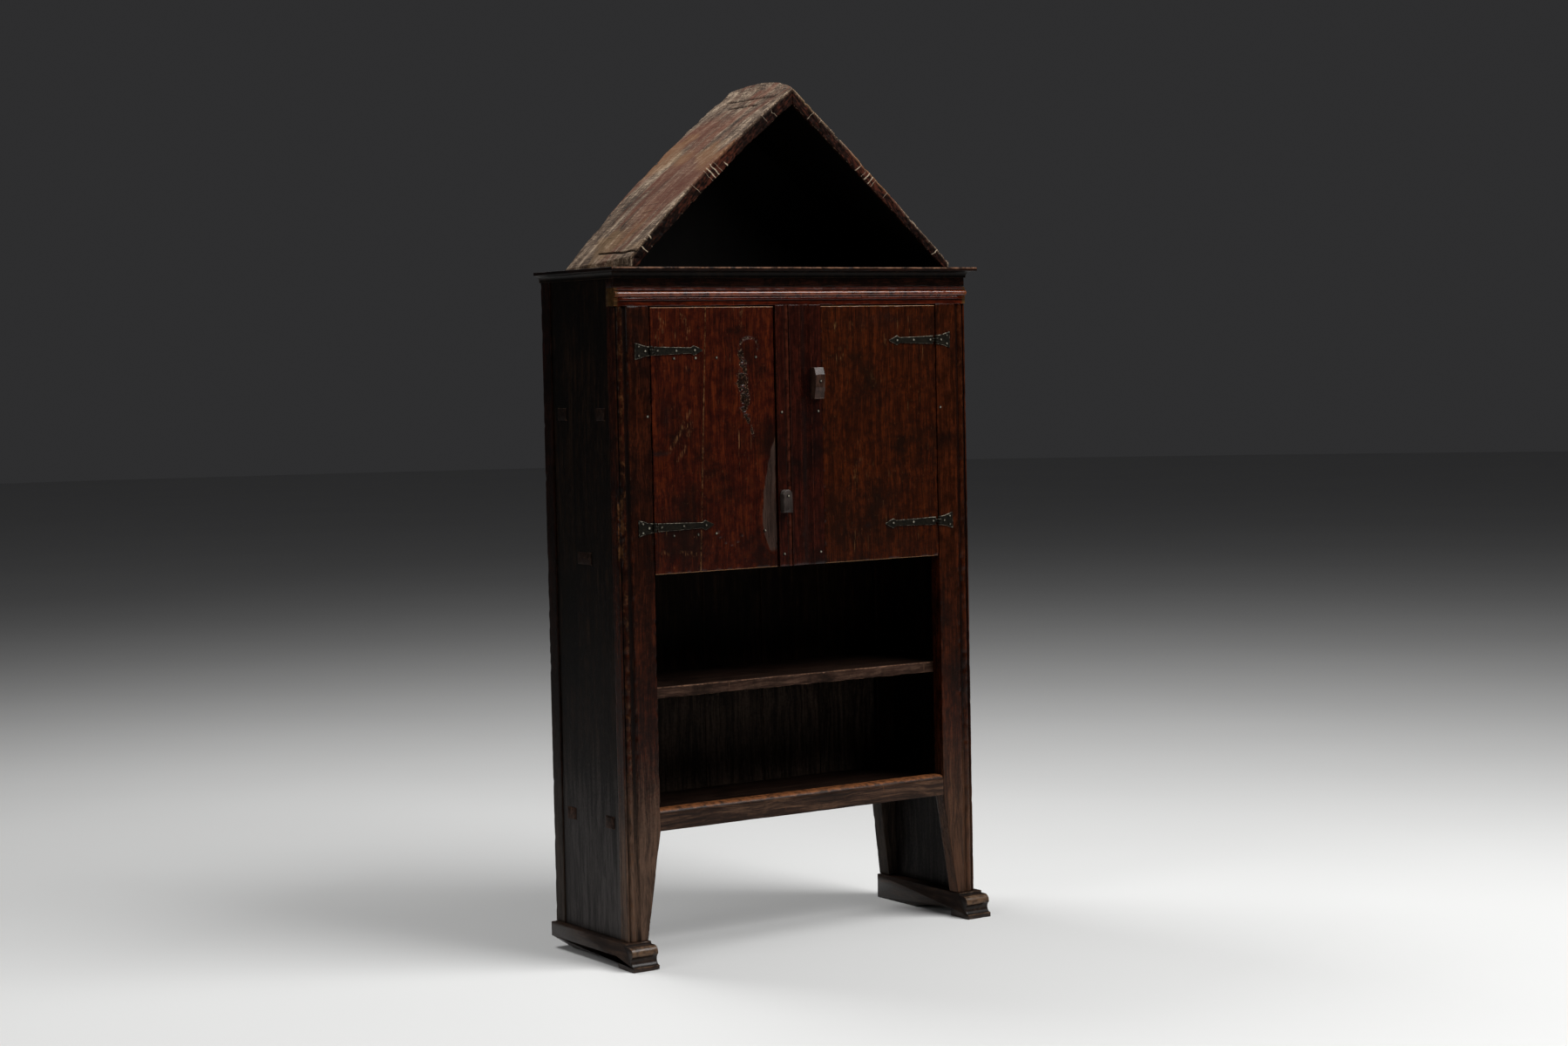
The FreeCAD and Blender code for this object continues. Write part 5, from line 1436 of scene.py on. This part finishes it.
def nail_head(seat, inward, seed, size=HEAD, lift=LIFT, bright=0.7):
    """A struck head on its seat: rings whose radius falls as the head rises, flattened by four blows."""
    turn = np.linspace(0, 2 * math.pi, 12, endpoint=False)
    share = np.array([0.0, 0.0, 0.35, 0.7, 0.92, 1.0])
    radius = np.array([0.5, 1.0, 0.93, 0.7, 0.4, 0.12])
    blow = 1 - 0.10 * np.cos(4 * (turn + seed)) - 0.06 * np.cos(3 * turn + 2 * seed)
    r = size * radius[:, None] * (0.94 * blow / blow.max())[None, :]
    side = np.cross(inward, (0, 0, 1))
    side = side / np.linalg.norm(side)
    ring = np.cos(turn)[:, None] * side + np.sin(turn)[:, None] * np.cross(side, inward)
    points = np.asarray(seat) + r[..., None] * ring - lift * share[:, None, None] * np.asarray(inward)
    return points, {"wear": np.broadcast_to(0.4 + bright * share[:, None], points.shape[:2])}


def nails(node, body):
    """Struck heads for all nails of a node."""
    places, seat = nail_places(node)
    shells = [nail_head((x, seat, z), (0, 1, 0), 1.7 * i) for i, (x, z) in enumerate(places)]
    make_piece("struck_" + node, shells, iron, [node], body, crease=60)


for node, body in (("left_door_nails", "left_door"), ("mullion_nails", "carcass"), ("stile_nails", "carcass"),
                   ("left_leaf_nails", "carcass"), ("right_leaf_nails", "carcass"),
                   ("left_strap_nails", "left_door"), ("right_strap_nails", "right_door"),
                   ("upper_button_nail", "carcass"), ("lower_button_nail", "carcass")):
    nails(node, body)
refinish("back_nails", iron)


def roof_nail_heads():
    """A roof nail is driven square to the roof: its axis is the long direction of its own points, and its
    head sits where that axis leaves the worn boards."""
    points = mesh_points("roof_nails")
    wood_points = np.concatenate([shell.reshape(-1, 3) for shell in ROOF_SHELLS])
    heads = []
    while len(points):
        near = np.linalg.norm(points - points[0], axis=1) < 60 * mm
        middle = points[near].mean(0)
        inward = np.linalg.svd(points[near] - middle, full_matrices=False)[2][0]
        inward = -inward * np.sign(inward[2])
        offset = wood_points - middle
        way = offset @ inward
        close = np.linalg.norm(offset - way[:, None] * inward, axis=1) < 5 * mm
        seat = middle + way[close].min() * inward
        heads.append(nail_head(seat, inward, 1.1 * len(heads), HEAD, 1 * mm, 0.0))
        points = points[~near]
    return heads


make_piece("struck_roof_nails", roof_nail_heads(), iron, ["roof_nails"], crease=60)


# %% [markdown]
# Turn buttons
#
# Two small wooden blocks turn on nails and hold the doors shut. They are kept upright here, clear of the
# doors, so that a door can open. The upper one is cut to facets, the lower one is a plain bar, round at
# one end.

# %% Buttons
UPPER_LOW, UPPER_HIGH = span("upper_turn_button")
BLOCK_WIDE, BLOCK_DEEP, BLOCK_TALL = UPPER_HIGH - UPPER_LOW
FACET = 6 * mm                      # how much thinner the block is at its ends
LOWER_FACE, UPPER_FACE = 26.5 * mm, 53.5 * mm
BLOCK_PROFILE = draw(
    (0, 0), (0, BLOCK_TALL), (BLOCK_DEEP - FACET, BLOCK_TALL), (BLOCK_DEEP, UPPER_FACE),
    (BLOCK_DEEP, LOWER_FACE), (BLOCK_DEEP - FACET, 0), step=3 * mm, soft=1 * mm)


def on_upper_button(s, u, v):
    return at(UPPER_LOW[0] + s, UPPER_HIGH[1] - u, UPPER_LOW[2] + v)


shell = sweep(BLOCK_PROFILE, stations(0, BLOCK_WIDE, 2.5 * mm), on_upper_button,
              worn(130, 0.5 * mm, 1.2 * mm, 15 * mm, 7 * mm), 1.5 * mm)
make_piece("faceted_upper_button", [shell], button_wood, ["upper_turn_button"],
           "upper_button")

low, high = span("lower_turn_button")
BAR_WIDE, BAR_DEEP, BAR_TALL = high - low
SHOULDER = BAR_TALL - 9.3 * mm
BAR_PROFILE = draw(
    (0, 0), (BAR_WIDE, 0), (BAR_WIDE, SHOULDER), (BAR_WIDE / 2, BAR_TALL, 0, SHOULDER), step=2.5 * mm,
    soft=1 * mm)
shell = sweep(BAR_PROFILE, stations(0, BAR_DEEP, 2 * mm), from_corner(low, "y"),
              worn(132, 0.5 * mm, 1.2 * mm, 15 * mm, 7 * mm), 1.2 * mm)
make_piece("plain_lower_button", [shell], bar_wood, ["lower_turn_button"], "lower_button")
# The gable's back board takes the wood that is painted nearly black as shade.
refinish("gable_back_board", gable_painted_shade)


# %% [markdown]
# Floor, light and camera
#
# The stage is plain: a pale floor, a dark grey surround and three soft lamps. The strongest hangs high in
# front on the right, a weak one stands on the left, and one high behind edges the roof with light. The
# camera stands where the picture was taken from: a little over chest height, about 34 degrees to the left
# of the front.

# %% Stage
FLOOR_REACH = 30.0
FLOOR_SIDES = 64


def floor_disc():
    """A flat disc: one ring of points at the radius times the cosine and sine of the turn."""
    turn = np.linspace(0, 2 * math.pi, FLOOR_SIDES, endpoint=False)
    ring = np.stack([np.cos(turn), np.sin(turn), 0 * turn], -1) * FLOOR_REACH
    mesh = bpy.data.meshes.new("floor")
    mesh.from_pydata(ring.tolist(), [], [list(range(FLOOR_SIDES))])
    return mesh


f = Finish("pale_floor")
shade = f.noise(f.place(), 0.7, 2.0)
floor_paint = f.set(Base_Color=f.blend(shade, paint(214, 214, 213), paint(222, 222, 221)), Roughness=0.55)
floor = bpy.data.objects.new("floor", floor_disc())
floor.data.materials.append(floor_paint)
bpy.context.scene.collection.objects.link(floor)


def stand(thing, right, up, back, place):
    """Puts a lamp or camera into the scene, with its back to the given direction."""
    turn = np.stack([right, up, back], -1)
    thing.matrix_world = Matrix([[*row, p] for row, p in zip(turn, place)] + [[0, 0, 0, 1]])
    bpy.context.scene.collection.objects.link(thing)


def soft_lamp(name, place, target, size, power):
    """A square lamp that looks at a target."""
    light = bpy.data.lights.new(name, "AREA")
    light.shape = "SQUARE"
    light.size = size
    light.energy = power
    lamp = bpy.data.objects.new(name, light)
    place = np.array(place)
    back = place - np.array(target)
    back /= np.linalg.norm(back)
    right = np.cross((0, 0, 1), back)
    right /= np.linalg.norm(right)
    stand(lamp, right, np.cross(back, right), back, place)


soft_lamp("lamp_above", (1.6, -2.6, 4.4), (0, 0, 0.9), 3.0, 330)
soft_lamp("lamp_left", (-4.6, -0.6, 2.6), (0, 0, 0.8), 2.5, 45)
soft_lamp("lamp_behind", (-0.8, 2.4, 4.9), (0, 0, 1.2), 2.0, 140)
world = bpy.data.worlds.new("surround")
bpy.context.scene.world = world
world.use_nodes = True
background = world.node_tree.nodes["Background"].inputs
background["Color"].default_value = (0.027, 0.027, 0.028, 1)
background["Strength"].default_value = 1.0
bpy.context.scene.view_settings.view_transform = "Standard"

# %% Camera
SENSOR = 36.0                            # millimetres
PICTURE_WIDE = 1799                      # pixels
FOCAL = 3204                             # pixels, from the fit of 25 measured points
CAMERA_PLACE = (-3.51975, -5.3570, 1.31765)
YAW, PITCH, ROLL = np.radians((-33.66, 3.31, -1.18))
ahead = np.array([-math.sin(YAW) * math.cos(PITCH), math.cos(YAW) * math.cos(PITCH), -math.sin(PITCH)])
right = np.array([math.cos(YAW), math.sin(YAW), 0])
up = np.cross(right, ahead)
right, up = right * math.cos(ROLL) + up * math.sin(ROLL), up * math.cos(ROLL) - right * math.sin(ROLL)
lens = bpy.data.cameras.new("camera")
lens.sensor_width = SENSOR
lens.lens = SENSOR * FOCAL / PICTURE_WIDE
camera = bpy.data.objects.new("camera", lens)
stand(camera, right, up, -ahead, CAMERA_PLACE)
bpy.context.scene.camera = camera
print("lens", round(lens.lens, 2), "mm at", CAMERA_PLACE)
